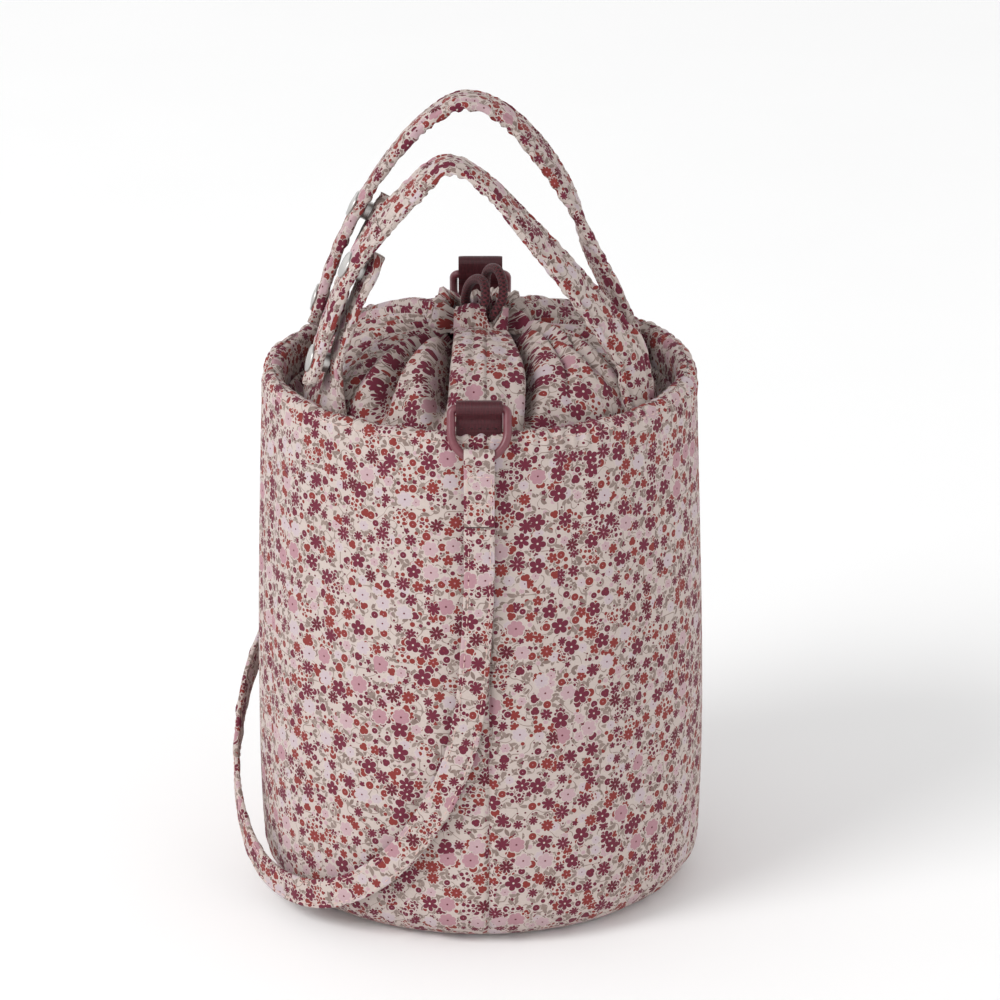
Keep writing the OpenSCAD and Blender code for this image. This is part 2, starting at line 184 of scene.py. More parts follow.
def read_along(at, along, rows):
    """The rows, known at the places in along, read at the places in at."""
    return np.stack([np.interp(at, along, rows[:, k]) for k in range(3)], axis=1)


def even_line(points, spacing):
    """A smooth line through the points with its own points an even distance apart."""
    dense = spline(points, np.linspace(0, len(points) - 1, 40 * len(points)))
    along = lengths_along(dense)
    at = np.linspace(0, along[-1], max(3, int(round(along[-1] / spacing)) + 1))
    return read_along(at, along, dense)


class Patchwork:
    """Collects the grids of points that make up one piece."""

    def __init__(self):
        self.points, self.faces, self.uvs, self.slots = [], [], [], []
        self.count = 0

    def grid(self, points, uvs, wrap_rows=False, wrap_cols=False, ends=False, slot=0):
        """Adds rows x columns of points. uvs has one more row or column where that way is wrapped."""
        rows, cols = points.shape[:2]
        i, j = np.meshgrid(
            np.arange(rows if wrap_rows else rows - 1),
            np.arange(cols if wrap_cols else cols - 1), indexing="ij",
        )
        corners = [(i, j), (i, j + 1), (i + 1, j + 1), (i + 1, j)]
        face = np.stack([(a % rows) * cols + b % cols for a, b in corners], axis=-1).reshape(-1, 4)
        uv = np.stack([uvs[a, b] for a, b in corners], axis=2).reshape(-1, 4, 2)
        self.points.append(points.reshape(-1, 3))
        self.faces.extend((face + self.count).tolist())
        self.uvs.append(uv.reshape(-1, 2))
        if ends:
            for row, order in ((0, range(cols)), (rows - 1, range(cols - 1, -1, -1))):
                self.faces.append([self.count + row * cols + k for k in order])
                self.uvs.append(np.array([uvs[row, k] for k in order]))
        self.slots.extend([slot] * (len(self.faces) - len(self.slots)))
        self.count += rows * cols

    def piece(self, name, materials):
        mesh = bpy.data.meshes.new(name)
        mesh.from_pydata(np.concatenate(self.points).tolist(), [], self.faces)
        layer = mesh.uv_layers.new(name="UVMap")
        layer.data.foreach_set("uv", np.concatenate(self.uvs).astype(np.float32).ravel())
        for material in materials:
            mesh.materials.append(material)
        mesh.polygons.foreach_set("material_index", self.slots)
        mesh.polygons.foreach_set("use_smooth", [True] * len(mesh.polygons))
        mesh.validate()
        mesh.update()
        obj = bpy.data.objects.new(name, mesh)
        bpy.context.scene.collection.objects.link(obj)
        return obj


def turned(radius, height, angle):
    """Points round +Z. Angle 0 is the front and angles grow towards +X."""
    return np.stack(np.broadcast_arrays(radius * np.sin(angle), -radius * np.cos(angle), height), axis=-1)


def tube(work, line, radius, sides=12, around=(0.1, 0.2, 1.0), relief=None):
    """A tube with closed ends along a line. relief(along, angle) adds to its radius."""
    heading = unit(np.gradient(line, axis=0))
    carried = np.array(around, float)
    ups = []
    for h in heading:
        carried = carried - (carried @ h) * h
        carried /= np.linalg.norm(carried)
        ups.append(carried)
    ups = np.array(ups)
    sideways = np.cross(ups, heading)
    angle = np.linspace(0, TURN, sides, endpoint=False)
    along = lengths_along(line)
    r = np.full((len(line), sides), radius)
    if relief is not None:
        r = r + relief(along[:, None], angle[None, :])
    points = (
        line[:, None]
        + (r * np.cos(angle))[..., None] * ups[:, None]
        + (r * np.sin(angle))[..., None] * sideways[:, None]
    )
    turns = np.linspace(0, TURN * radius, sides + 1)
    uvs = print_uvs(turns[None, :], along[:, None])
    work.grid(points, uvs, wrap_cols=True, ends=True)


THREAD_SLOT = 1  # the second material of a piece is its thread


def stitches(work, line, up, stitch=3.0 * MM, gap=1.1 * MM, thread=0.32 * MM):
    """A row of short raised thread stitches along a line. up points out of the cloth."""
    along = lengths_along(line)
    count = int(along[-1] // (stitch + gap))
    step = along[-1] / max(count, 1)
    share = np.linspace(-0.5, 0.5, 5)
    arch = 1 - (2 * share) ** 4
    for k in range(count):
        at = (k + 0.5) * step + share * stitch
        mid = read_along(at, along, line)
        out = unit(read_along(at, along, up))
        mid = mid + (0.75 * arch[:, None] - 0.55) * thread * out
        heading = unit(mid[-1] - mid[0])
        sideways = np.cross(out, heading)
        angle = np.linspace(0, TURN, 6, endpoint=False)
        r = thread * np.sqrt(np.clip(1.04 - (2 * share) ** 4, 0.04, 1))
        points = (
            mid[:, None]
            + (r[:, None] * np.cos(angle))[..., None] * out[:, None]
            + (r[:, None] * np.sin(angle))[..., None] * sideways[:, None]
        )
        uvs = print_uvs(at[:, None], np.linspace(0, thread, 7)[None, :])
        work.grid(points, uvs, wrap_cols=True, ends=True, slot=THREAD_SLOT)


# ---------------------------------------------------------------- material tools


class Nodes:
    """A short way to write a material's node tree."""

    def __init__(self, name):
        self.material = bpy.data.materials.new(name)
        self.material.use_nodes = True
        self.tree = self.material.node_tree
        self.shader = self.tree.nodes["Principled BSDF"]
        self.uv = self.add("ShaderNodeUVMap").outputs["UV"]

    def add(self, kind, **settings):
        node = self.tree.nodes.new(kind)
        for key, value in settings.items():
            setattr(node, key, value)
        return node

    def put(self, socket, value):
        if isinstance(value, bpy.types.NodeSocket):
            self.tree.links.new(value, socket)
        elif isinstance(value, tuple) and len(value) == 3 and socket.type == "RGBA":
            socket.default_value = (*value, 1)
        else:
            socket.default_value = value

    def math(self, operation, *values, clamp=False):
        node = self.add("ShaderNodeMath", operation=operation, use_clamp=clamp)
        for socket, value in zip(node.inputs, values):
            self.put(socket, value)
        return node.outputs[0]

    def vector(self, operation, *values):
        node = self.add("ShaderNodeVectorMath", operation=operation)
        sockets = [node.inputs["Scale"] if operation == "SCALE" and k == 1 else node.inputs[k]
                   for k in range(len(values))]
        for socket, value in zip(sockets, values):
            self.put(socket, value)
        return node.outputs["Value" if operation in ("LENGTH", "DOT_PRODUCT") else "Vector"]

    def mix(self, share, a, b):
        node = self.add("ShaderNodeMix", data_type="RGBA", clamp_factor=True)
        for socket, value in zip((node.inputs[0], node.inputs[6], node.inputs[7]), (share, a, b)):
            self.put(socket, value)
        return node.outputs[2]

    def rise(self, value, lo, hi):
        """0 where value is below lo, 1 above hi."""
        node = self.add("ShaderNodeMapRange", interpolation_type="SMOOTHSTEP")
        self.put(node.inputs["Value"], value)
        self.put(node.inputs["From Min"], lo)
        self.put(node.inputs["From Max"], hi)
        return node.outputs["Result"]

    def under(self, value, limit, soft):
        """1 where value is below limit, with an edge soft wide."""
        return self.math("SUBTRACT", 1.0, self.rise(self.math("SUBTRACT", value, limit), -soft, soft))

    def noise(self, vector, scale, detail=2.0):
        node = self.add("ShaderNodeTexNoise")
        self.put(node.inputs["Vector"], vector)
        self.put(node.inputs["Scale"], scale)
        self.put(node.inputs["Detail"], detail)
        return node.outputs["Fac"]

    def split(self, vector):
        node = self.add("ShaderNodeSeparateXYZ")
        self.put(node.inputs[0], vector)
        return node.outputs[:3]

    def steps(self, value, colours):
        """One of some colours, each over an equal share of 0 to 1."""
        node = self.add("ShaderNodeValToRGB")
        ramp = node.color_ramp
        ramp.interpolation = "CONSTANT"
        for k, colour in enumerate(colours):
            stop = ramp.elements[k] if k < 2 else ramp.elements.new(0.99)
            stop.position = k / len(colours)
            stop.color = (*colour, 1)
        self.put(node.inputs[0], value)
        return node.outputs[0]

    def relief(self, height, strength, distance):
        node = self.add("ShaderNodeBump")
        self.put(node.inputs["Strength"], strength)
        self.put(node.inputs["Distance"], distance)
        self.put(node.inputs["Height"], height)
        self.put(self.shader.inputs["Normal"], node.outputs["Normal"])

    def finish(self, colour, roughness, **settings):
        self.put(self.shader.inputs["Base Color"], colour)
        self.put(self.shader.inputs["Roughness"], roughness)
        for key, value in settings.items():
            self.put(self.shader.inputs[key.replace("_", " ")], value)
        return self.material


def srgb(*values):
    """A colour written as 0 to 255 sRGB, in linear light."""
    c = [v / 255 for v in values]
    return tuple(x / 12.92 if x <= 0.04045 else ((x + 0.055) / 1.055) ** 2.4 for x in c)


# ---------------------------------------------------------------- the printed cotton

GROUND = srgb(208, 194, 187)
PLUM = srgb(112, 42, 60)
WINE = srgb(102, 38, 50)
RUST = srgb(138, 56, 53)
PINK = srgb(182, 138, 147)
PALE_PINK = srgb(196, 166, 171)
LILAC = srgb(200, 183, 188)
LEAF = srgb(134, 114, 107)
PALE_LEAF = srgb(154, 136, 128)
CREAM = srgb(220, 210, 200)

# Kinds of flower: petal colour, heart colour, number of petals, depth of the gaps between them, radius in mm
LARGE_FLOWERS = (
    (PLUM, CREAM, 5, 0.56, 4.8), (PINK, WINE, 7, 0.24, 4.9), (PLUM, PINK, 8, 0.72, 4.4),
    (LILAC, WINE, 7, 0.36, 4.3), (PLUM, CREAM, 6, 0.64, 4.5), (PALE_PINK, WINE, 6, 0.34, 4.5),
    (RUST, PINK, 9, 0.42, 3.7), (PLUM, PLUM, 7, 0.62, 4.2), (PLUM, CREAM, 5, 0.50, 4.4),
    (WINE, PINK, 8, 0.70, 4.0),
)
SMALL_FLOWERS = (
    (RUST, RUST, 6, 0.50, 2.9), (PLUM, PINK, 7, 0.62, 3.2), (RUST, PINK, 0, 0.0, 2.1),
    (PLUM, PLUM, 8, 0.64, 2.8), (PLUM, RUST, 3, 0.30, 2.5), (PALE_PINK, PLUM, 6, 0.40, 2.7),
    (PLUM, PINK, 0, 0.0, 1.8), (RUST, PINK, 5, 0.55, 3.1), (LILAC, PLUM, 7, 0.3, 2.7),
    (RUST, RUST, 3, 0.35, 2.6),
)
BERRIES = (
    (RUST, RUST, 0, 0.0, 1.4), (PLUM, PLUM, 0, 0.0, 1.2), (PLUM, PLUM, 5, 0.5, 1.7),
    (PALE_PINK, PINK, 0, 0.0, 1.3), (RUST, RUST, 0, 0.0, 1.1), (WINE, WINE, 0, 0.0, 0.6),
    (PLUM, PLUM, 0, 0.0, 0.7), (WINE, WINE, 0, 0.0, 0.55),
)
CLUSTER_BERRY_R = 1.05 * MM
CLUSTER_R = 4.3 * MM
PETALS_MAX = 10
RADIUS_MAX = 10


def scattered(n, scale, shift, jitter):
    """The nearest of many scattered spots: radius and angle from it, and two random numbers for it."""
    place = n.vector("ADD", n.uv, shift)
    node = n.add("ShaderNodeTexVoronoi", voronoi_dimensions="2D", feature="F1")
    n.put(node.inputs["Vector"], place)
    n.put(node.inputs["Scale"], scale)
    n.put(node.inputs["Randomness"], jitter)
    local = n.vector("SUBTRACT", place, node.outputs["Position"])
    x, y, _ = n.split(local)
    pick, spin, grow = n.split(node.outputs["Color"])
    return n.vector("LENGTH", local), n.math("MULTIPLY_ADD", spin, TURN, n.math("ARCTAN2", y, x)), pick, grow


def flowers(n, colour, kinds, scale, shift, jitter, share, margin=0.7 * MM):
    """Lays flowers over colour, each on a bare margin of the ground. share of the spots have one."""
    r, angle, pick, grow = scattered(n, scale, shift, jitter)
    forms = [(petals / PETALS_MAX, depth, radius / RADIUS_MAX) for _, _, petals, depth, radius in kinds]
    petals, depth, radius = n.split(n.steps(pick, forms))
    size = n.math("MULTIPLY", radius, RADIUS_MAX * MM)
    full = n.math("MULTIPLY", size, n.math("MULTIPLY_ADD", grow, 0.24, 0.88))
    turned_by = n.math("MULTIPLY", n.math("MULTIPLY", petals, PETALS_MAX / 2), angle)
    lobe = n.math("ABSOLUTE", n.math("COSINE", turned_by))
    gap = n.math("MULTIPLY", depth, n.math("SUBTRACT", 1.0, n.math("POWER", lobe, 0.55)))
    edge = n.math("MULTIPLY", full, n.math("SUBTRACT", 1.0, gap))
    there = n.math("LESS_THAN", grow, share)
    bare = n.math("MULTIPLY", n.under(r, n.math("ADD", edge, margin), 0.2 * MM), there)
    inside = n.math("MULTIPLY", n.under(r, edge, 0.12 * MM), there)
    heart = n.under(r, n.math("MULTIPLY_ADD", full, 0.10, 0.08 * MM), 0.12 * MM)
    outer, inner = (n.steps(pick, [kind[k] for kind in kinds]) for k in (0, 1))
    petal = n.mix(heart, outer, inner)
    return n.mix(inside, n.mix(bare, colour, GROUND), petal)


def leaf_pairs(n, colour, scale, shift, half_length, half_width, share):
    """Lays pairs of leaves over colour, each pair opened in a V from its own stalk."""
    r, angle, pick, grow = scattered(n, scale, shift, 0.85)
    opened = n.math("SUBTRACT", n.math("ABSOLUTE", n.math("WRAP", angle, math.pi, -math.pi)), 0.55)
    x = n.math("SUBTRACT", n.math("MULTIPLY", r, n.math("COSINE", opened)), 1.15 * half_length)
    y = n.math("ABSOLUTE", n.math("MULTIPLY", r, n.math("SINE", opened)))
    from_middle = n.math("ABSOLUTE", n.math("DIVIDE", x, half_length))
    taper = n.math("SUBTRACT", 1.0, n.math("POWER", from_middle, 2.0))
    inside = n.under(y, n.math("MULTIPLY", taper, half_width), 0.14 * MM)
    inside = n.math("MULTIPLY", inside, n.math("LESS_THAN", grow, share))
    tint = n.mix(pick, LEAF, PALE_LEAF)
    return n.mix(inside, colour, tint)


def berry_clusters(n, colour, scale, shift, share):
    """Lays bunches of small round berries over colour, rust or plum by the bunch."""
    bunch_r, _, pick, grow = scattered(n, scale, shift, 0.8)
    berry_r, _, _, size = scattered(n, 330.0, shift, 0.45)
    full = n.math("MULTIPLY", n.math("MULTIPLY_ADD", size, 0.35, 0.8), CLUSTER_BERRY_R)
    here = n.math("MULTIPLY", n.math("LESS_THAN", bunch_r, CLUSTER_R), n.math("LESS_THAN", grow, share))
    bare = n.math("MULTIPLY", n.under(berry_r, n.math("ADD", full, 0.5 * MM), 0.2 * MM), here)
    inside = n.math("MULTIPLY", n.under(berry_r, full, 0.12 * MM), here)
    berry = n.mix(n.math("LESS_THAN", pick, 0.6), PLUM, RUST)
    return n.mix(inside, n.mix(bare, colour, GROUND), berry)


def printed_cotton(name, dim=1.0):
    """Cream cotton with a dense print of small flowers, berries, leaves and stems. dim darkens it all: a
    darker copy of the same print is painted shade for cloth that sits in shadow.
    """
    n = Nodes(name)
    colour = n.mix(n.noise(n.uv, 30.0, 3.0), GROUND, srgb(199, 183, 176))
    wave = n.noise(n.vector("ADD", n.uv, (0.31, 0.17, 0.0)), 130.0, 0.0)
    stem = n.under(n.math("ABSOLUTE", n.math("SUBTRACT", wave, 0.5)), 0.016, 0.010)
    colour = n.mix(n.math("MULTIPLY", stem, 0.8), colour, LEAF)
    colour = leaf_pairs(n, colour, 150.0, (0.07, 0.13, 0.0), 2.1 * MM, 0.95 * MM, 0.95)
    colour = flowers(n, colour, BERRIES, 240.0, (0.11, 0.05, 0.0), 0.9, 0.80, 0.3 * MM)
    colour = leaf_pairs(n, colour, 125.0, (0.23, 0.31, 0.0), 2.5 * MM, 1.05 * MM, 0.8)
    colour = flowers(n, colour, SMALL_FLOWERS, 128.0, (0.05, 0.09, 0.0), 0.85, 0.88, 0.5 * MM)
    colour = berry_clusters(n, colour, 70.0, (0.41, 0.27, 0.0), 0.26)
    colour = flowers(n, colour, LARGE_FLOWERS, 84.0, (0.19, 0.43, 0.0), 0.72, 0.62, 0.5 * MM)
    x, y, _ = n.split(n.uv)
    thread = TURN / (0.55 * MM)
    weave = n.math("MULTIPLY", n.math("SINE", n.math("MULTIPLY", x, thread)),
                   n.math("SINE", n.math("MULTIPLY", y, thread)))
    slub = n.noise(n.uv, 900.0, 2.0)
    colour = n.vector("SCALE", colour, n.math("MULTIPLY_ADD", slub, 0.16, 0.735 * dim))
    n.relief(n.math("ADD", n.math("MULTIPLY", weave, 0.5), slub), 0.4, 0.25 * MM)
    rough = n.math("MULTIPLY_ADD", slub, 0.12, 0.80)
    return n.finish(colour, rough, Sheen_Weight=0.06, Sheen_Roughness=0.5, Specular_IOR_Level=0.2)


def webbing_cloth(name):
    """Burgundy satin webbing: fine warp along its length and faint ribs across it."""
    n = Nodes(name)
    x, y, _ = n.split(n.uv)
    warp = n.math("SINE", n.math("MULTIPLY", x, TURN / (0.75 * MM)))
    rib = n.math("SINE", n.math("MULTIPLY", y, TURN / (0.9 * MM)))
    fibre = n.noise(n.vector("MULTIPLY", n.uv, (1.0, 0.12, 1.0)), 2600.0, 3.0)
    height = n.math("MULTIPLY_ADD", rib, 0.35, warp)
    # Painted shade: the colour darkens where the weave's height is low, in the hollows between the threads.
    painted_thread_shade = n.math("MULTIPLY_ADD", n.rise(height, -1.3, 1.3), 0.5, n.math("MULTIPLY_ADD", fibre, 0.7, 0.2))
    colour = n.vector("SCALE", n.mix(fibre, srgb(56, 15, 24), srgb(88, 32, 40)), painted_thread_shade)
    n.relief(n.math("MULTIPLY_ADD", fibre, 0.6, height), 0.4, 0.22 * MM)
    return n.finish(colour, n.math("MULTIPLY_ADD", fibre, 0.15, 0.33), Sheen_Weight=0.04,
                    Specular_IOR_Level=0.3, Anisotropic=0.5)


BRAID_PITCH = 4.4 * MM
BRAID_STRANDS = 8


def cord_cloth(name):
    """Dark red braided cord: the strands' own shape is in the mesh, the fibres and a fine braid relief are
    here, with painted shade darkening the gaps between the strands.
    """
    n = Nodes(name)
    x, y, _ = n.split(n.uv)
    turn = n.math("MULTIPLY", x, BRAID_STRANDS / CORD_D)
    climb = n.math("MULTIPLY", y, TURN / BRAID_PITCH * 2)
    one = n.math("SINE", n.math("ADD", turn, climb))
    two = n.math("SINE", n.math("SUBTRACT", turn, climb))
    braid = n.math("MAXIMUM", one, two)
    fibre = n.noise(n.vector("MULTIPLY", n.uv, (1.0, 0.35, 1.0)), 2600.0, 3.0)
    # Painted shade: the colour darkens where the braid's height is low, between the strands.
    painted_thread_shade = n.math("MULTIPLY_ADD", n.rise(braid, -0.3, 1.0), 0.95, n.math("MULTIPLY_ADD", fibre, 0.4, 0.02))
    colour = n.vector("SCALE", n.mix(fibre, srgb(62, 16, 24), srgb(98, 34, 42)), painted_thread_shade)
    n.relief(n.math("MULTIPLY_ADD", fibre, 0.3, braid), 0.7, 0.5 * MM)
    return n.finish(colour, 0.55, Sheen_Weight=0.12, Specular_IOR_Level=0.35)


def ring_coat(name):
    """Dusty mauve coated wire, a little mottled and satin."""
    n = Nodes(name)
    mottle = n.noise(n.uv, 420.0, 3.0)
    wear = n.rise(n.noise(n.uv, 150.0, 4.0), 0.62, 0.75)
    colour = n.mix(mottle, srgb(94, 38, 47), srgb(116, 60, 69))
    colour = n.mix(n.math("MULTIPLY", wear, 0.3), colour, srgb(146, 92, 100))
    n.relief(mottle, 0.12, 0.1 * MM)
    return n.finish(colour, n.math("MULTIPLY_ADD", mottle, 0.18, 0.30), Coat_Weight=0.12, Coat_Roughness=0.2)


def snap_steel(name):
    """Nickel-bright pressed steel with fine turning marks."""
    n = Nodes(name)
    place = n.add("ShaderNodeTexCoord").outputs["Object"]
    grain = n.noise(place, 2400.0, 3.0)
    colour = n.mix(grain, (0.36, 0.35, 0.34), (0.56, 0.54, 0.52))
    n.relief(grain, 0.08, 0.05 * MM)
    return n.finish(colour, n.math("MULTIPLY_ADD", grain, 0.2, 0.22), Metallic=1.0)


def wadding_cloth(name):
    """White fibre wadding, only seen where the bag is taken apart."""
    n = Nodes(name)
    place = n.add("ShaderNodeTexCoord").outputs["Object"]
    fibre = n.noise(place, 700.0, 5.0)
    n.relief(fibre, 0.6, 0.8 * MM)
    return n.finish(n.mix(fibre, srgb(214, 212, 206), srgb(244, 243, 239)), 0.95, Sheen_Weight=0.2)


def sewing_thread(name):
    """Pale pink sewing thread with a twist."""
    n = Nodes(name)
    x, y, _ = n.split(n.uv)
    slant = n.math("ADD", x, n.math("MULTIPLY", y, 2.0))
    twist = n.math("SINE", n.math("MULTIPLY", slant, TURN / (0.45 * MM)))
    # Painted shade: darker stripes along the twist stand for the shade in the grooves between the thread's
    # plies.
    colour = n.mix(n.rise(twist, -1.0, 1.0), srgb(176, 138, 132), srgb(222, 196, 186))
    return n.finish(colour, 0.6, Sheen_Weight=0.2)


COTTON = printed_cotton("printed_cotton")
# A darker copy of the same print: painted shade for the lining, the collar and the casing, which sit in the
# bag's shadow.
SHADED_COTTON = printed_cotton("shaded_cotton", 0.92)
WEBBING = webbing_cloth("burgundy_webbing")
BRAID = cord_cloth("braided_cord")
COATED = ring_coat("coated_ring")
STEEL = snap_steel("snap_steel")
WADDING = wadding_cloth("wadding")
THREAD = sewing_thread("sewing_thread")

# ---------------------------------------------------------------- cords and carry strap


def lifted(*points):
    """Points given in millimetres, with heights above the crest of the rim."""
    return np.array(points, float) * MM + np.array([0, 0, RIM_Z])


DRAWCORD_ROUTE = lifted(
    (7.2, -19.8, 31.4), (8.5, -22, 36), (11.5, -21.5, 41), (12.5, -19.5, 46), (12, -15.5, 51),
    (9.5, -10, 55), (6, -4, 54), (3.5, 0, 49.5), (3, 2, 42), (3, 2, 33),
    (3.5, 1, 20), (4, 1, 5), (4, 1, -12), (4, 1, -30), (4, 1, -48), (4, 1, -66), (4, 1, -80),
    (6, 1, -92), (8, 1, -100), (6, 1, -108), (0, 1, -112), (-6, 1, -108), (-8, 1, -100), (-6, 1, -92),
    (-4, 1, -80), (-4, 1, -66), (-4, 1, -48), (-4, 1, -30), (-4, 1, -12), (-4, 1.5, 5), (-5, 3, 18),
    (-7, 4, 28), (-7.5, 3, 36), (-5.5, -1, 44), (-2, -7, 49), (1.5, -13, 50),
    (3, -18.5, 47), (2.5, -21.5, 41), (-2, -22, 35), (-7.2, -19.8, 31.4),
)
STRAP_FRONT_ROUTE = lifted(
    (0, -123, -47.4), (0, -123, -75), (-1, -123.5, -100), (-3, -124, -130), (-6, -124.5, -155),
    (-12, -124.5, -180), (-23, -123, -205), (-39, -119.5, -230), (-58, -112, -250), (-79, -99, -264),
    (-99, -80, -270), (-116, -57, -267), (-127, -32, -254), (-132, -8, -234), (-131, 14, -212),
    (-126, 34, -192), (-117, 54, -175), (-105, 74, -158),
)
STRAP_REAR_ROUTE = lifted(
    (-105, 74, -158), (-91, 91, -144), (-72, 107, -129), (-51, 118, -113), (-31, 123, -96),
    (-15, 124, -79), (-5, 123.5, -66), (-1, 123, -58), (0, 123, -47.4),
)


def make_drawcord():
    line = even_line(DRAWCORD_ROUTE, 0.45 * MM)
    work = Patchwork()

    def braid(along, angle):
        turn, climb = BRAID_STRANDS / 2 * angle, 2 * TURN * along / BRAID_PITCH
        over = np.maximum(np.sin(turn + climb), np.sin(turn - climb))
        return 0.3 * MM * (over - 0.7)

    tube(work, line, CORD_D / 2, sides=32, relief=braid)
    cord = work.piece("drawcord", [BRAID])
    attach(cord, "bag")
    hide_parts("drawcord_loop")
    return cord, line


def make_knot():
    """The overhand knot that joins the cord's ends inside the bag."""
    t = np.linspace(0, TURN, 160, endpoint=False)
    reach = 2.4 * MM
    ring = np.stack([
        (np.sin(t) + 2 * np.sin(2 * t)) * reach,
        -np.sin(3 * t) * reach,
        (np.cos(t) - 2 * np.cos(2 * t)) * reach,
    ], axis=1)
    line = ring + lifted((0, 1, -78))[0]
    work = Patchwork()
    tube(work, line, CORD_D / 2 * 0.95, sides=16, around=(0, 1, 0))
    knot = work.piece("drawcord_knot_wrap", [BRAID])
    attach(knot, "bag")
    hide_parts("drawcord_knot")
    return knot


def flat_section(half_w, half_t, count=28, square=4.0):
    """A flat outline with rounded edges, as offsets (across, out), going round once."""
    angle = np.linspace(0, TURN, count, endpoint=False) + TURN / count / 2
    c, s = np.cos(angle), np.sin(angle)
    across = half_w * np.sign(c) * np.abs(c) ** (1.6 / square)
    out = half_t * np.sign(s) * np.abs(s) ** (2.0 / square)
    return across, out


def strap_tube(work, line, face, across, out, relief=None):
    """Sweeps a flat outline along a line. face is the outward direction at each point."""
    heading = unit(np.gradient(line, axis=0))
    face = square_to(face, heading)
    side = np.cross(face, heading)
    along = lengths_along(line)
    across = np.broadcast_to(across, (len(line), np.shape(across)[-1]))
    out = np.broadcast_to(out, across.shape)
    if relief is not None:
        out = out + relief(along[:, None], across)
    points = line[:, None] + across[..., None] * side[:, None] + out[..., None] * face[:, None]
    loop = np.concatenate([points, points[:, :1]], axis=1)
    girth = np.concatenate(
        [np.zeros((len(line), 1)), np.cumsum(np.linalg.norm(np.diff(loop, axis=1), axis=2), axis=1)], axis=1)
    uvs = print_uvs(girth, along[:, None])
    work.grid(points, uvs, wrap_cols=True, ends=True)
    return side, face


def edge_stitches(work, line, side, face, across, out):
    """Rows of stitches along both edges and on both faces of a strap, across from its middle."""
    for edge in (-1, 1):
        for way in (-1, 1):
            stitches(work, line + edge * across * side + way * out * face, way * face)


STRAP_STITCH_AT = 5.6 * MM


def make_carry_strap(name, node, route):
    line = even_line(route, 2.0 * MM)
    away = line * np.array([1, 1, 0])
    across, out = flat_section(STRAP_W / 2, STRAP_T / 2)
    work = Patchwork()

    def seam(along, x):
        rib = 0.35 * MM * bump(np.abs(x) - STRAP_STITCH_AT, 0.8 * MM)
        return -rib * np.sign(out) + 0.25 * MM * wander(along, 0.018, 5) * (np.abs(x) < 7 * MM)

    side, face = strap_tube(work, line, away, across, out, relief=seam)
    edge_stitches(work, line, side, face, STRAP_STITCH_AT, STRAP_T / 2 - 0.3 * MM)
    strap = work.piece(name, [COTTON, THREAD])
    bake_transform(strap)
    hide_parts(node)


drawcord, drawcord_line = make_drawcord()
knot = make_knot()
make_carry_strap("carry_strap_front_cloth", "carry_strap_front", STRAP_FRONT_ROUTE)
make_carry_strap("carry_strap_rear_cloth", "carry_strap_rear", STRAP_REAR_ROUTE)

# ---------------------------------------------------------------- wall and base

SEAM_ANGLE = math.asin(5 / 118)
ROUND = 720


def wall_line(inset, steps):
    """(radius, height) along a line inside the wall, from the base seam to the foot of the rim's roll."""
    a = np.radians(np.linspace(-90, 0, steps // 6))
    reach = CORNER_R - inset
    corner = np.stack([CORE_R + reach * np.cos(a), CORNER_R + reach * np.sin(a)], axis=1)
    z = np.linspace(CORNER_R, ROLL_Z, steps)[1:]
    return np.concatenate([corner, np.stack([wall_r(z) - inset, z], axis=1)])


def roll_line(reach, first, last, steps):
    a = np.radians(np.linspace(first, last, steps))
    return np.stack([CREST_R + reach * np.cos(a), ROLL_Z + reach * np.sin(a)], axis=1)


def turned_shell(work, profile, relief):
    """A closed ring of cloth: profile goes out along one face and back along the other."""
    angle = SEAM_ANGLE + np.linspace(0, TURN, ROUND, endpoint=False)
    r, z = profile[:, 0][:, None], profile[:, 1][:, None]
    edge = np.gradient(profile, axis=0)
    out = unit(np.stack([edge[:, 1], -edge[:, 0]], axis=1))
    push = relief(angle[None, :], z, np.arange(len(profile))[:, None])
    points = turned(r + out[:, :1] * push, z + out[:, 1:] * push, angle[None, :])
    along = lengths_along(np.concatenate([profile, profile[:1]]))
    girth = np.linspace(0, TURN * MOUTH_R, ROUND + 1)
    uvs = print_uvs(girth[None, :], along[:, None])
    work.grid(points, uvs, wrap_rows=True, wrap_cols=True)


RIM_STITCH_Z = ROLL_Z + 1.5 * MM


def wall_relief(angle, z, row, front_rows):
    """How far the outer cloth stands off its smooth form: ridges, the front seam and the rim's puckers."""
    height = z / RIM_Z
    tall = 0.55 * MM * ripple(angle, (5, 17), 3, drift=2.5 * height)
    fine = 0.22 * MM * ripple(angle, (24, 46), 4, drift=5 * height)
    near_rim = bump(z - RIM_STITCH_Z, 12 * MM)
    pucker = 0.34 * MM * ripple(angle, (70, 112), 5) * (bump(z - RIM_STITCH_Z, 7 * MM) + 0.2 * near_rim)
    trench = -0.75 * MM * bump(z - RIM_STITCH_Z, 1.6 * MM)
    from_seam = np.abs(np.angle(np.exp(1j * (angle - SEAM_ANGLE)))) * MOUTH_R
    seam = -1.5 * MM * bump(from_seam, 1.0 * MM) + 0.5 * MM * bump(from_seam - 3.5 * MM, 2 * MM)
    seam_pull = 0.25 * MM * bump(from_seam, 16 * MM) * wander(z, 0.021, 8)
    base_pucker = 0.4 * MM * ripple(angle, (40, 70), 6) * bump(z - 10 * MM, 14 * MM)
    settle = smooth(z, 0, 12 * MM)
    total = (tall + fine) * settle + pucker + trench + seam * settle
    total = total + seam_pull * settle + base_pucker * settle
    return np.where(row < front_rows, total, 0.0)


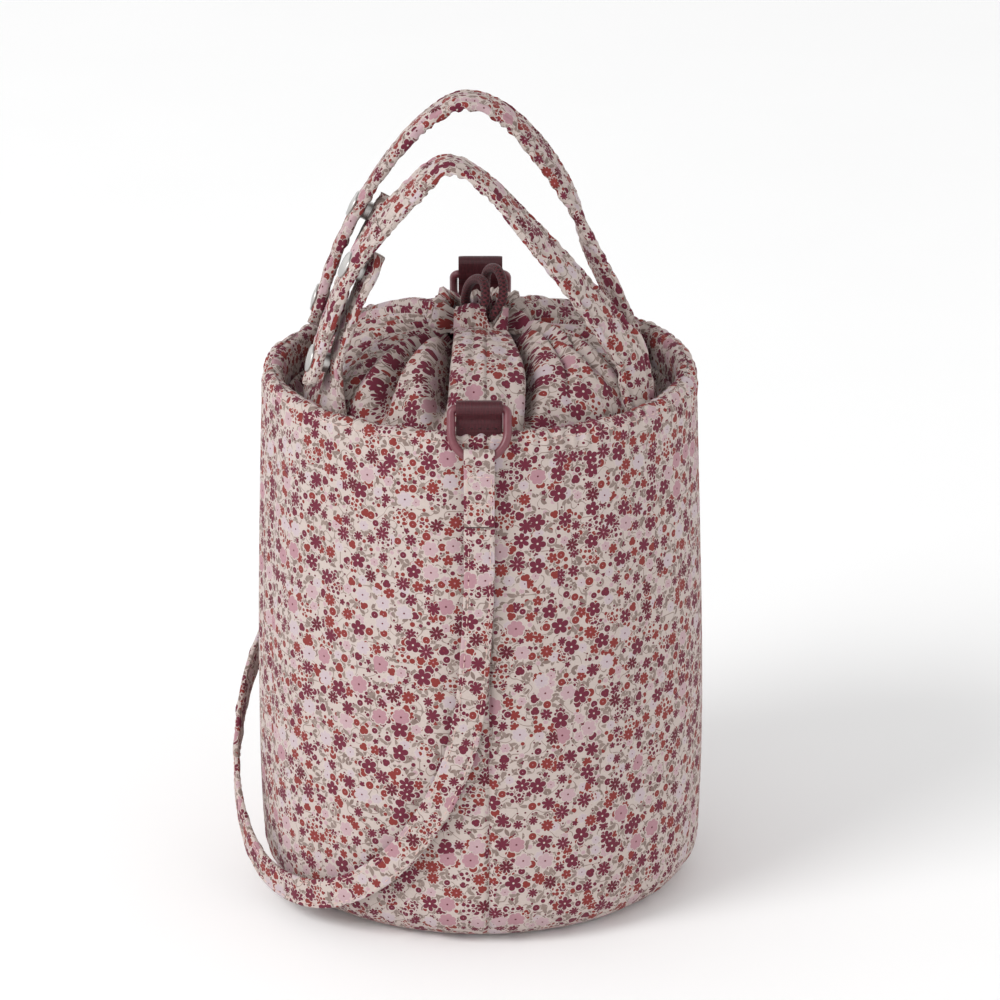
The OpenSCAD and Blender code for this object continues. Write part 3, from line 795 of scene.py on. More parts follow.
def make_wall():
    front = np.concatenate([wall_line(0, 132), roll_line(ROLL_R, 6, 90, 14)])
    back = np.concatenate([wall_line(FABRIC_T, 12), roll_line(ROLL_R - FABRIC_T, 15, 90, 5)])[::-1]
    work = Patchwork()
    profile = np.concatenate([front, back])
    turned_shell(work, profile, lambda a, z, row: wall_relief(a, z, row, len(front)))
    angle = SEAM_ANGLE + np.linspace(0, TURN, 1200)
    push = wall_relief(angle, np.full(len(angle), RIM_STITCH_Z), np.zeros(len(angle)), 1)
    row = turned(CREST_R + math.sqrt(ROLL_R**2 - (RIM_STITCH_Z - ROLL_Z) ** 2) + push, RIM_STITCH_Z, angle)
    stitches(work, row, unit(row * np.array([1, 1, 0])))
    wall = work.piece("bag_wall", [COTTON, THREAD])
    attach(wall, "bag")
    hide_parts("outer_wall", "wall_padding")


def lining_relief(angle, z, row, front_rows):
    tall = 0.4 * MM * ripple(angle, (9, 21), 13, drift=2 * z / RIM_Z)
    pucker = 0.3 * MM * ripple(angle, (70, 112), 5) * bump(z - RIM_STITCH_Z, 8 * MM)
    trench = -0.6 * MM * bump(z - RIM_STITCH_Z, 1.5 * MM)
    settle = smooth(z, 20 * MM, 40 * MM)
    return np.where(row < front_rows, -(tall * settle + pucker + trench), 0.0)


def make_lining():
    wall_t = 2 * ROLL_R
    front = np.concatenate([wall_line(wall_t, 96), roll_line(ROLL_R, 174, 90, 14)])
    back = np.concatenate([wall_line(wall_t - FABRIC_T, 12), roll_line(ROLL_R - FABRIC_T, 165, 90, 5)])[::-1]
    work = Patchwork()
    turned_shell(work, np.concatenate([front, back]), lambda a, z, row: lining_relief(a, z, row, len(front)))
    lining = work.piece("bag_lining", [SHADED_COTTON])
    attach(lining, "bag")
    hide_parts("lining_wall")


def make_disc(name, node, low, high, crown, material):
    """A round of the base with softly rounded edges. crown lifts the middle of its top."""
    angle = np.linspace(0, TURN, 144, endpoint=False)
    edge = min(1.2 * MM, (high - low) / 2.2)
    a = np.radians(np.linspace(-90, 90, 9))
    rim_z = (low + high) / 2 + ((high - low) / 2) * np.sin(a)
    rim = np.stack([CORE_R - edge + edge * np.cos(a), rim_z], axis=1)
    r = np.linspace(0.5 * MM, CORE_R - edge, 24)
    under = np.stack([r, np.full(len(r), low)], axis=1)
    over = np.stack([r[::-1], high + crown * (1 - (r[::-1] / CORE_R) ** 2)], axis=1)
    profile = np.concatenate([under, rim[1:-1], over])
    points = turned(profile[:, :1], profile[:, 1:], angle[None, :])
    flat = np.concatenate([points, points[:, :1]], axis=1)[..., :2]
    work = Patchwork()
    work.grid(points, flat, wrap_cols=True, ends=True)
    disc = work.piece(name, [material])
    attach(disc, "bag")
    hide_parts(node)


make_wall()
make_lining()
make_disc("base_cloth", "base_panel", 0.0, FABRIC_T, 0.0, COTTON)
make_disc("base_wadding", "base_padding", FABRIC_T, 2 * ROLL_R - FABRIC_T, 0.0, WADDING)
make_disc("base_inner_cloth", "base_lining", 2 * ROLL_R - FABRIC_T, 2 * ROLL_R, 1.2 * MM, SHADED_COTTON)

# ---------------------------------------------------------------- collar

CLOTH_T = 1.0 * MM
COLLAR_RISE = CASING_Z - COLLAR_Z
COLLAR_TILT = 7 * MM
CASING_LIFT = 2.5 * MM
CASING_TALL = 15.5 * MM
HEM_LEVEL = 0.2
PANEL_LEFT = (-18 * MM, -13.5 * MM)
PANEL_RIGHT = (20.5 * MM, 17 * MM)
PANEL_BELLY = 7.5 * MM
SEAM_X = 3.5 * MM
VALLEY_DEPTH = 34 * MM
LIP_ROWS = 8
LIP_DIP = 7 * MM
# Folds on the collar: angles at its seam and at the casing in degrees, depth and width in mm, and where
# between the two they start, from 0 to 1
FOLDS = (
    (-34, -45, 24.0, 5.0, 0.05), (-60, -74, 3.5, 5.0, 0.2), (-84, -97, 4.0, 4.0, 0.3),
    (-108, -118, 4.0, 4.0, 0.3), (26, 50, 5.5, 2.6, 0.25), (37, 61, 5.0, 2.2, 0.3), (48, 73, 5.5, 2.6, 0.35),
    (61, 86, 5.0, 2.6, 0.3), (76, 101, 5.5, 3.2, 0.3), (95, 117, 4.0, 4.0, 0.3),
)


def crease(angle, folds, seed, drift=0.0):
    """Gathers with round backs and sharp valleys, 0 in the valleys and 1 on the backs."""
    rng = np.random.default_rng(seed)
    wobble = sum(rng.uniform(0.3, 1.0) * np.sin(k * angle + rng.uniform(0, TURN)) for k in (2, 3, 5, 7))
    return np.abs(np.sin(folds * angle / 2 + 0.9 * wobble + drift)) ** 0.7


def squared_front(angle, amount):
    """The factor that squares a round outline off at the front, as the flat panel does."""
    power = 2 + 1.5 * amount * smooth(np.cos(angle), -0.1, 0.45)
    return (np.abs(np.sin(angle)) ** power + np.abs(np.cos(angle)) ** power) ** (-1 / power)


def panel_share(x, t, front):
    """1 on the flat panel at the front and 0 off it."""
    belly = np.sin(math.pi * np.clip(t, 0, 1))
    left = PANEL_LEFT[0] + (PANEL_LEFT[1] - PANEL_LEFT[0]) * t
    right = PANEL_RIGHT[0] + (PANEL_RIGHT[1] - PANEL_RIGHT[0]) * t + PANEL_BELLY * belly
    inside = smooth(x, left - 1 * MM, left + 4 * MM) * (1 - smooth(x, right - 4 * MM, right + 1 * MM))
    valleys = bump(x - left + (3 + 3 * belly) * MM, (2.2 + 2.6 * belly) * MM)
    valleys = valleys + 0.8 * bump(x - right - 2.6 * MM, 2.8 * MM)
    return inside * front, valleys * front


def gathers(angle, t, x):
    """How far the collar's cloth stands off its smooth dome. t is 0 at the seam and 1 at the casing."""
    front = smooth(np.cos(angle), 0.1, 0.35)
    panel, valleys = panel_share(x, t, front)
    calm = 1 - 0.92 * panel
    right_half = smooth(np.sin(angle), -0.5, 0.5)
    top, middle = smooth(t, 0.35, 1.0), smooth(t, 0.1, 0.55)
    push = 3.4 * MM * top * (crease(angle, 36, 21, 1.5 * t) - 0.55) * calm * (0.55 + 0.45 * right_half)
    push = push + 3.6 * MM * middle * (crease(angle, 15, 22, 1.2 * t) - 0.6) * calm
    push = push + 2.0 * MM * smooth(t, 0.0, 0.2) * ripple(angle, (4, 9), 23, 1.5 * t) * (1 - 0.7 * panel)
    push = push + 0.5 * MM * middle * ripple(angle, (30, 60), 24, 6 * t)
    reach = CASING_R + (COLLAR_R - CASING_R) * np.cos(t * math.pi / 2)
    for low, high, deep, wide, start in FOLDS:
        away = np.angle(np.exp(1j * (angle - np.radians(low + (high - low) * t)))) * reach
        valley = deep * MM * bump(away, wide * MM * (0.6 + 0.6 * (1 - t)))
        push = push - valley * smooth(t, start, start + 0.4)
    push = push - VALLEY_DEPTH * valleys * smooth(t, 0.08, 0.5) + 2 * MM * panel * middle
    seam = bump(x - SEAM_X, 0.9 * MM) - 0.4 * bump(x - SEAM_X + 1.6 * MM, 0.9 * MM)
    return push - 0.9 * MM * front * seam * smooth(t, 0.05, 0.2)


def collar_points(t, angle):
    """The collar's middle surface. t is 0 at its seam and 1 at the casing, and it goes on up inside that."""
    a = np.clip(t, 0, 1) * math.pi / 2
    above = np.clip(t - 1, 0, 1)
    base = CASING_R * squared_front(angle, smooth(t, 0.35, 1.0)) - 14 * MM * above
    r = base + (COLLAR_R - CASING_R) * np.cos(a)
    lean = COLLAR_TILT * (1 - np.cos(angle)) / 2 * smooth(t, 0.1, 1.0)
    z = COLLAR_Z + FABRIC_T / 2 + (COLLAR_RISE + CASING_LIFT) * np.sin(a) + 9 * MM * above - lean
    push = gathers(angle, np.clip(t, 0, 1), r * np.sin(angle))
    points = turned(r + push * np.maximum(np.cos(a), 0.55), z + push * np.sin(a) * 0.85, angle + 0 * t)
    return points, push


def two_faced(points, thickness):
    """The outer and inner faces of a round sheet, from its middle surface."""
    along_rows = np.gradient(points, axis=0)
    along_cols = np.roll(points, -1, axis=1) - np.roll(points, 1, axis=1)
    normal = unit(np.cross(along_cols, along_rows))
    return points + normal * thickness / 2, points - normal * thickness / 2


def polar_uvs(angle, reach):
    """The print laid flat over the collar's dome, with no seam: reach is the way down from its middle."""
    flat = print_uvs(reach * np.sin(angle), -reach * np.cos(angle))
    return flat + np.array([0.017, 0.026])


def make_collar():
    angle = SEAM_ANGLE + np.linspace(0, TURN, 1080, endpoint=False)[None, :]
    t = np.concatenate([np.linspace(0, 1, 110), [1.1, 1.2, 1.3]])[:, None]
    lip = np.linspace(0, 0.9, LIP_ROWS)[:, None]
    lip_r = LINING_R - 0.4 * MM + lip * (COLLAR_R - LINING_R)
    lip_z = -LIP_DIP * np.sin(math.pi * lip)
    dome, push = collar_points(t, angle)
    lip_points = turned(lip_r + 0 * angle, COLLAR_Z + FABRIC_T / 2 + lip_z + 0 * angle, angle + 0 * lip)
    middle = np.concatenate([lip_points, dome])
    top, under = two_faced(middle, CLOTH_T)
    rows = np.concatenate([top, under[::-1]])
    a = np.clip(t, 0, 1) * math.pi / 2
    smooth_row = np.concatenate([lip_r, CASING_R + (COLLAR_R - CASING_R) * np.cos(a)])[:, 0]
    smooth_z = np.concatenate([lip_z, COLLAR_RISE * np.sin(a)])[:, 0]
    down = lengths_along(np.stack([smooth_row, smooth_z, 0 * smooth_z], axis=1))
    reach = CASING_R + down[-1] - down
    reach = np.concatenate([reach, reach[::-1], reach[:1]])[:, None]
    deep = np.maximum(-push - 7 * MM, 0)
    deep = np.concatenate([np.zeros((LIP_ROWS, deep.shape[1])), deep])
    deep = np.concatenate([deep, deep[::-1], deep[:1]])
    deep = np.concatenate([deep, deep[:, :1]], axis=1)
    around = SEAM_ANGLE + np.linspace(0, TURN, rows.shape[1] + 1)[None, :] + deep / reach
    work = Patchwork()
    work.grid(rows, polar_uvs(around, reach), wrap_rows=True, wrap_cols=True)
    # The collar's cloth is the darker copy of the print: painted shade.
    collar = work.piece("gathered_collar", [SHADED_COTTON])
    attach(collar, "bag")
    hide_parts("collar")
    return collar


def casing_ring(level, angle):
    """Radius and height of the casing's outer face. level is 0 at its foot and 1 at its top."""
    base = CASING_R * squared_front(angle, 1.0) - 3.5 * MM * level**1.5
    push = gathers(angle, 1.0, base * np.sin(angle))
    r = base + push * 0.55 + 0.8 * MM
    tilt = COLLAR_TILT * (1 - np.cos(angle)) / 2
    z = CASING_Z + CASING_LIFT - 3 * MM + CASING_TALL * level - tilt + push * 0.4 * level
    return r, z


def make_casing():
    """The gathered channel round the drawcord, with a V at the front where the cord comes out."""
    count = 900
    share = np.linspace(0, 1, count)[None, :]
    outer = np.linspace(0, 1, 26)[:, None]
    climb = np.sin(outer * math.pi / 2 * 0.96)
    level = climb / climb[-1]
    open_half = 0.012 + 0.155 * smooth(level, 0.24, 1.0)
    notch = np.arcsin((5 + 3 * level) * MM / CASING_R)
    angle = notch + open_half + share * (TURN - 2 * open_half)
    r, z = casing_ring(level, angle)
    front_calm = 0.8 * smooth(np.cos(angle), 0.5, 0.8)
    hem = bump(level - HEM_LEVEL, 0.035)
    r = r - 1.1 * MM * hem + 0.8 * MM * bump(level - HEM_LEVEL - 0.16, 0.12) * (1 - front_calm)
    r = r + 0.35 * MM * wander(angle * CASING_R + 3 * MM * level, 0.006, 44) * bump(level - HEM_LEVEL, 0.2)
    z = z + 0.8 * MM * ripple(angle, (5, 11), 41) * level**2
    outside = turned(r, z, angle)
    inner_r = r[::-1] - 5.2 * MM - 1.4 * MM * np.sin(outer * math.pi) * (1 - front_calm)
    inside = turned(np.maximum(inner_r, 9 * MM), z[::-1] - 0.4 * MM, angle[::-1])
    crest = (outside[-1:] + inside[:1]) / 2 + np.array([0, 0, 1.5 * MM])
    points = np.concatenate([outside, crest, inside])
    v = np.linspace(0, 0.04, len(points) + 1)[:, None]
    uvs = print_uvs(v, share * 0.19 + 0.07)
    work = Patchwork()
    work.grid(points.transpose(1, 0, 2), uvs.transpose(1, 0, 2), wrap_cols=True, ends=True)
    hem_angle = notch[0, 0] + 0.05 + np.linspace(0, TURN - 0.1, 1400)
    hem_r, hem_z = casing_ring(np.full(1400, HEM_LEVEL + 0.01), hem_angle)
    row = turned(hem_r - 0.7 * MM, hem_z, hem_angle)
    stitches(work, row, unit(row * np.array([1, 1, 0])), stitch=2.2 * MM, gap=0.9 * MM, thread=0.22 * MM)
    casing = work.piece("gathered_casing", [SHADED_COTTON, THREAD])
    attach(casing, "bag")
    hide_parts("collar_casing", "drawcord_run")


collar = make_collar()
make_casing()

# ---------------------------------------------------------------- handles

# The rear handle's own points are given at the front and mirrored, as in the CAD.
HANDLE_ROUTES = {
    "front": lifted((-86, -50, 17), (-78, -51, 42), (-68, -52, 68), (-54, -53, 90), (-36, -54, 111),
                    (-17, -54, 127), (3, -54, 117), (24, -53, 93), (46, -51, 66), (66, -48, 39),
                    (81, -44, 17)),
    "rear": lifted((-86, -50, 17), (-78, -51, 42), (-66, -52, 68), (-52, -53, 91), (-33, -54, 114),
                   (-10, -54, 129), (12, -54, 122), (32, -53, 101), (48, -51, 76), (60, -49, 47),
                   (72, -47, 22)),
}
HANDLE_TWISTS = {
    "front": ((0, 2.2, 3.2, 4.2, 5.5, 6.3, 7.4, 8.6, 10), (6, 6, 16, 16, 2, -3, -18, -27, -40)),
    "rear": ((0, 2.5, 5, 7, 7.9, 9, 10), (3, 3, 0, 14, 8, -22, -28)),
}
FOOT_ROUTES = {
    "front": lifted((82, -46.5, 1.5), (84.5, -50.5, -8), (85, -52, -16)),
    "rear": lifted((77, -50.5, 4), (80, -55, -6), (81, -57, -16)),
}
FOOT_TWIST = (-38, -35, -32)
TAB_FOOT_ROUTE = lifted((-78.5, -60, -15), (-78, -58, -10), (-78, -56.5, -5))
TAB_FOOT_TWIST = (38, 36, 34)
END_SPLIT = 3.2
SNAP_STEPS = (0.12, 2.1)
HANDLE_STEP = 1.3 * MM
HANDLE_STITCH_AT = 4.0 * MM
GROOVE_FLOOR = 0.28  # about the share of a strap's thickness that is left in its stitched grooves
SCALLOP_DEPTH = 1.7 * MM
SCALLOP_PITCH = 9 * MM


def level_side(degrees):
    """The level direction across a strap that has turned by degrees about the vertical."""
    a = np.radians(degrees)
    return np.stack([np.sin(a), -np.cos(a), 0 * a], axis=1)


def handle_frame(name, u):
    """Middle, side, face and heading of a handle at steps u, as in the CAD."""
    route = HANDLE_ROUTES[name]
    last = len(route) - 1
    middle = spline(route, u)
    heading = unit(spline(route, np.minimum(u + 0.05, last)) - spline(route, np.maximum(u - 0.05, 0)))
    side = square_to(level_side(np.interp(u, *HANDLE_TWISTS[name])), heading)
    return middle, side, np.cross(side, heading), heading


def padded_strap(work, line, side, face, half_w, print_start=0.0):
    """A padded strap along a line, with a groove and a row of stitches along each edge.

    On the inner side of a bend the cloth is too long, so it stands in short scallops.
    """
    along = lengths_along(line) + print_start
    count = 48
    x_share, out_share = flat_section(1.0, 1.0, count=count, square=4.4)
    across = x_share[None, :] * half_w[:, None]
    sign = np.sign(out_share)[None, :]
    from_edge = half_w[:, None] - np.abs(across)
    groove = (1 - GROOVE_FLOOR) * bump(from_edge - HANDLE_STITCH_AT, 1.2 * MM)
    crown = 0.80 + 0.22 * (1 - (np.abs(x_share[None, :])) ** 3)
    turning = np.gradient(unit(np.gradient(line, axis=0)), axis=0)
    bend = turning / np.maximum(np.gradient(along), 1e-9)[:, None]
    inward = np.clip(np.sum(bend * face, axis=1), -60, 60)
    inward = np.convolve(inward, np.ones(21) / 21, mode="same")[:, None]
    squeeze = np.clip(inward * sign / 22 + 0.12, 0, 1.1)
    place = along[:, None] + 0.10 * across + 2.5 * MM * wander(along[:, None], 0.035, 54)
    scallop = 1.5 * np.abs(np.sin(math.pi * place / SCALLOP_PITCH)) ** 0.8 - 1.0
    pucker = 0.22 * MM * wander(along[:, None], 0.0042, 52) * bump(from_edge - HANDLE_STITCH_AT, 3 * MM)
    puff = 0.25 * MM * wander(along[:, None] + 0.4 * across, 0.022, 53)
    out = out_share[None, :] * (HANDLE_T / 2) * (crown - groove)
    scallops = SCALLOP_DEPTH * squeeze * scallop * smooth(from_edge, 0, 1 * MM)
    out = out + sign * (scallops + pucker + puff * (from_edge > 2 * MM))
    wide = across + 0.35 * MM * np.sign(across) * wander(along[:, None] * np.sign(across), 0.008, 55)
    points = line[:, None] + wide[..., None] * side[:, None] + out[..., None] * face[:, None]
    x_steps = np.diff(np.concatenate([x_share, x_share[:1]])) * HANDLE_W / 2
    out_steps = np.diff(np.concatenate([out_share, out_share[:1]])) * HANDLE_T / 2
    girth = np.concatenate([[0], np.cumsum(np.hypot(x_steps, out_steps))])
    uvs = print_uvs(girth[None, :] + 0.3, along[:, None])
    work.grid(points, uvs, wrap_cols=True, ends=True)
    keep = half_w > 6 * MM
    stitch_across = (half_w - HANDLE_STITCH_AT)[keep, None]
    edge_stitches(work, line[keep], side[keep], face[keep], stitch_across, HANDLE_T / 2 * GROOVE_FLOOR)


def mirrored(points):
    return points * np.array([1, -1, 1])


def sided(rear, *arrays):
    return [mirrored(a) for a in arrays] if rear else list(arrays)


def resample(name, u_from, u_to):
    """Even steps along a handle's route from u_from to u_to."""
    u = np.linspace(u_from, u_to, 600)
    along = lengths_along(handle_frame(name, u)[0])
    at = np.linspace(0, along[-1], int(along[-1] / HANDLE_STEP) + 1)
    return np.interp(at, along, u)


def rounded(line, side, face, heading, half, at_start):
    """Adds a round end to a strap, at its start or its end."""
    shares = np.sin(np.linspace(0, math.pi / 2 * 0.985, 16))[1:]
    k = 0 if at_start else -1
    reach = shares[:, None] * half * heading[k] * (-1 if at_start else 1)
    extra = line[k] + reach
    widths = half * np.sqrt(1 - shares**2)
    if at_start:
        extra, widths = extra[::-1], widths[::-1]
    sides, faces = np.repeat(side[k][None], 15, axis=0), np.repeat(face[k][None], 15, axis=0)
    pairs = ((line, extra), (side, sides), (face, faces), (np.full(len(line), half), widths))
    return [np.concatenate(pair[::-1] if at_start else pair) for pair in pairs]


def make_handle(name, rear):
    """The arch of a handle, from its cut at the snap end to its sewn foot inside the rim."""
    u = resample(name, END_SPLIT, len(HANDLE_ROUTES[name]) - 1)
    line, side, face, heading = handle_frame(name, u)
    foot_steps = np.linspace(0, 2, 14)
    foot = spline(FOOT_ROUTES[name], foot_steps)
    foot_side = level_side(np.interp(foot_steps, (0, 1, 2), FOOT_TWIST))
    line = np.concatenate([line, foot])
    smoothed = even_line(line[::6], HANDLE_STEP)
    source = lengths_along(line) / lengths_along(line)[-1]
    target = np.linspace(0, 1, len(smoothed))
    sides = np.concatenate([side, foot_side])
    side = unit(read_along(target, source, sides))
    heading = unit(np.gradient(smoothed, axis=0))
    side = square_to(side, heading)
    face = np.cross(side, heading)
    line, side, face = sided(rear, smoothed, side, face)
    work = Patchwork()
    padded_strap(work, line, side, face, np.full(len(line), HANDLE_W / 2))
    handle = work.piece(f"{name}_handle_strap", [COTTON, THREAD])
    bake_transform(handle)
    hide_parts(*[f"{name}_handle_{part}" for part in ("outer", "padding", "inner", "foot")])


def make_handle_end(name, rear):
    """The free end of a handle, which the snaps hold to the tab."""
    u = resample(name, 0, END_SPLIT)
    line, side, face, heading = handle_frame(name, u)
    line, side, face, half = rounded(line, side, face, heading, HANDLE_W / 2, True)
    start = line[-1].copy()
    finish_at = spline(HANDLE_ROUTES[name], [END_SPLIT - 0.55])[0]
    line, side, face = sided(rear, line, side, face)
    if rear:
        start, finish_at = mirrored(start), mirrored(finish_at)
    work = Patchwork()
    padded_strap(work, line, side, face, half)
    end = work.piece(f"{name}_handle_end_strap", [COTTON, THREAD])
    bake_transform(end)
    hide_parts(f"{name}_handle_end")


def make_snap_tab(name, rear):
    """The tab that the handle's end snaps onto, from its sewn foot up."""
    u = resample(name, 0, SNAP_STEPS[1])
    line, side, face, heading = handle_frame(name, u)
    line = line + TAB_LIFT * face
    line, side, face, half = rounded(line, side, face, heading, HANDLE_W / 2, False)
    steps = np.linspace(0, 2, 14)
    foot = spline(TAB_FOOT_ROUTE, steps)
    foot_heading = unit(np.gradient(foot, axis=0))
    foot_side = square_to(level_side(np.interp(steps, (0, 1, 2), TAB_FOOT_TWIST)), foot_heading)
    foot_face = np.cross(foot_side, foot_heading)
    line = np.concatenate([foot, line[4:]])
    side = np.concatenate([foot_side, side[4:]])
    face = np.concatenate([foot_face, face[4:]])
    half = np.concatenate([np.full(len(foot), HANDLE_W / 2), half[4:]])
    line, side, face = sided(rear, line, side, face)
    work = Patchwork()
    padded_strap(work, line, side, face, half, print_start=0.4)
    tab = work.piece(f"{name}_snap_tab_strap", [COTTON, THREAD])
    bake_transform(tab)
    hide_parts(f"{name}_snap_tab", f"{name}_snap_tab_foot")


def lathe(work, profile, centre, axis, spokes=40):
    """A turned piece: profile is (radius, height) pairs along axis from centre."""
    axis = unit(np.asarray(axis, float))
    first = unit(np.cross(axis, [0.0, 0.3, 1.0]))
    second = np.cross(axis, first)
    angle = np.linspace(0, TURN, spokes, endpoint=False)
    ring = np.cos(angle)[:, None] * first + np.sin(angle)[:, None] * second
    profile = np.asarray(profile, float)
    points = centre + profile[:, 0][:, None, None] * ring[None] + profile[:, 1][:, None, None] * axis
    turns = np.linspace(0, TURN * profile[:, 0].max(), spokes + 1)
    along = lengths_along(np.stack([profile[:, 0], profile[:, 1], 0 * profile[:, 0]], axis=1))
    uvs = print_uvs(turns[None, :], along[:, None])
    work.grid(points, uvs, wrap_cols=True, ends=True)


def snap_cap_profile():
    """A pressed cap: a flat flange, a rolled edge and a shallow dome."""
    low = HANDLE_T / 2 - 0.6 * MM
    r = 7.5 * MM
    edge = [(r - 0.9 * MM + 0.9 * MM * math.cos(a), low + 0.9 * MM + 0.9 * MM * math.sin(a))
            for a in np.radians(np.linspace(-90, 80, 9))]
    dome = [(q * (r - 1.3 * MM), low + 1.55 * MM + 1.0 * MM * (1 - q**2)) for q in np.linspace(1, 0.02, 9)]
    return [(0.1 * MM, low), *edge, (r - 1.15 * MM, low + 1.5 * MM), *dome]


def make_snap_caps(name, rear):
    work = Patchwork()
    middle, _, face, _ = handle_frame(name, np.array(SNAP_STEPS))
    middle, face = sided(rear, middle, face)
    for centre, axis in zip(middle, face):
        lathe(work, snap_cap_profile(), centre, axis)
    caps = work.piece(f"{name}_snap_cap_shells", [STEEL])
    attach(caps, f"{name}_handle_end")
    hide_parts(f"{name}_snap_caps")


def dress_snap_nodes(name):
    for part in ("snap_sockets", "snap_studs", "snap_backs"):
        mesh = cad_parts[f"{name}_{part}"].data
        mesh.materials.clear()
        mesh.materials.append(STEEL)


for end_name, at_rear in SIDES:
    make_handle(end_name, at_rear)
    make_handle_end(end_name, at_rear)
    make_snap_tab(end_name, at_rear)
    make_snap_caps(end_name, at_rear)
    dress_snap_nodes(end_name)

# ---------------------------------------------------------------- rings, their tabs and the strap's ends


def leaned(points):
    """From a ring hanging along -Z off its bar at the origin, to its place on the bag's front."""
    c, s = math.cos(RING_LEAN), math.sin(RING_LEAN)
    x, y, z = points[..., 0], points[..., 1], points[..., 2]
    return np.stack([x, -CREST_R + c * y + s * z, RING_Z + c * z - s * y], axis=-1)


def make_d_ring(name, rear):
    corner = 3.0 * MM
    bow = np.linspace(0, math.pi, 60)
    arc = np.linspace(0, math.pi / 2, 9)
    right_x, right_z = RING_HALF - corner + corner * np.sin(arc), -corner + corner * np.cos(arc)
    right = np.stack([right_x, 0 * arc, right_z], axis=1)
    legs = np.stack([RING_HALF * np.cos(bow), 0 * bow, -RING_LEG - RING_HALF * np.sin(bow)], axis=1)
    left = right[::-1] * np.array([-1, 1, 1])
    bar = np.linspace(-RING_HALF + corner, RING_HALF - corner, 24)[1:-1]
    top = np.stack([bar, 0 * bar, 0 * bar], axis=1)
    side_r = np.stack([np.full(8, RING_HALF), np.zeros(8), np.linspace(-corner, -RING_LEG, 10)[1:-1]], axis=1)
    side_l = side_r[::-1] * np.array([-1, 1, 1])
    loop = leaned(np.concatenate([top, right, side_r, legs, side_l, left]))
    heading = unit(np.roll(loop, -1, axis=0) - np.roll(loop, 1, axis=0))
    flat_way = leaned(np.array([[0, 1.0, 0]]))[0] - leaned(np.array([[0, 0.0, 0]]))[0]
    outward = np.cross(heading, flat_way)
    angle = np.linspace(0, TURN, 20, endpoint=False)
    points = loop[:, None] + RING_D / 2 * (
        np.cos(angle)[None, :, None] * flat_way + np.sin(angle)[None, :, None] * outward[:, None])
    along = lengths_along(np.concatenate([loop, loop[:1]]))
    uvs = print_uvs(np.linspace(0, TURN * RING_D / 2, 21)[None, :], along[:, None])
    work = Patchwork()
    work.grid(mirrored(points)[:, ::-1] if rear else points, uvs, wrap_rows=True, wrap_cols=True)
    ring = work.piece(f"{name}_coated_ring", [COATED])
    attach(ring, f"{name}_ring")
    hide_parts(f"{name}_d_ring")


def folded_line(rise, stand_off, fold, spacing, middle, rear):
    """A line up one side, round a fold and down the other, with its outward direction."""
    up = np.stack([0 * rise, np.full(len(rise), stand_off), rise], axis=1)
    down = up[::-1] * np.array([1, -1, 1])
    line = even_line(np.concatenate([up, fold[::3], down]), spacing) + np.array(middle)
    side = np.tile([1.0, 0, 0], (len(line), 1))
    face = np.cross(unit(np.gradient(line, axis=0)), side)
    return sided(rear, line, face)


def make_ring_tab(name, rear):
    """Folded webbing: up out of the rim, round the ring's bar and down again."""
    bore = RING_D / 2 + 0.4 * MM + TAB_PLY / 2
    low = RIM_Z - TAB_DEPTH
    a = np.radians(np.linspace(-32, 212, 40))
    fold_rise = REAR_FOLD_RISE * (np.sin(a) > 0) if rear else 0
    fold = np.stack([0 * a, -bore * np.cos(a), bore * np.sin(a) + fold_rise], axis=1)
    neck = RING_Z - 5.2 * MM
    rise = np.linspace(low, neck, 14) - RING_Z
    line, face = folded_line(rise, -0.85 * MM, fold, 0.8 * MM, (0, -CREST_R, RING_Z), rear)
    across, out = flat_section(TAB_W / 2, TAB_PLY / 2 * 0.95, count=36, square=5.0)
    work = Patchwork()

    def woven(along, x):
        edge = TAB_W / 2 - np.abs(x)
        return 0.1 * MM * np.sin(TURN * along / (1.25 * MM)) * np.sign(out) * smooth(edge, 0.2 * MM, 1.4 * MM)

    strap_tube(work, line, face, across, out, relief=woven)
    sew_z = RIM_Z + 2.6 * MM
    x = np.linspace(-TAB_W / 2 + 1.5 * MM, TAB_W / 2 - 1.5 * MM, 30)
    for way in (-1, 1):
        y = (-CREST_R + way * 1.62 * MM) * (-1 if rear else 1)
        row = np.stack([x, np.full(30, y), np.full(30, sew_z)], axis=1)
        out_way = way * (-1 if rear else 1)
        stitches(work, row, np.tile([0.0, out_way, 0.0], (30, 1)))
    tab = work.piece(f"{name}_webbing_tab", [WEBBING, BRAID])
    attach(tab, "bag")
    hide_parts(f"{name}_ring_tab")


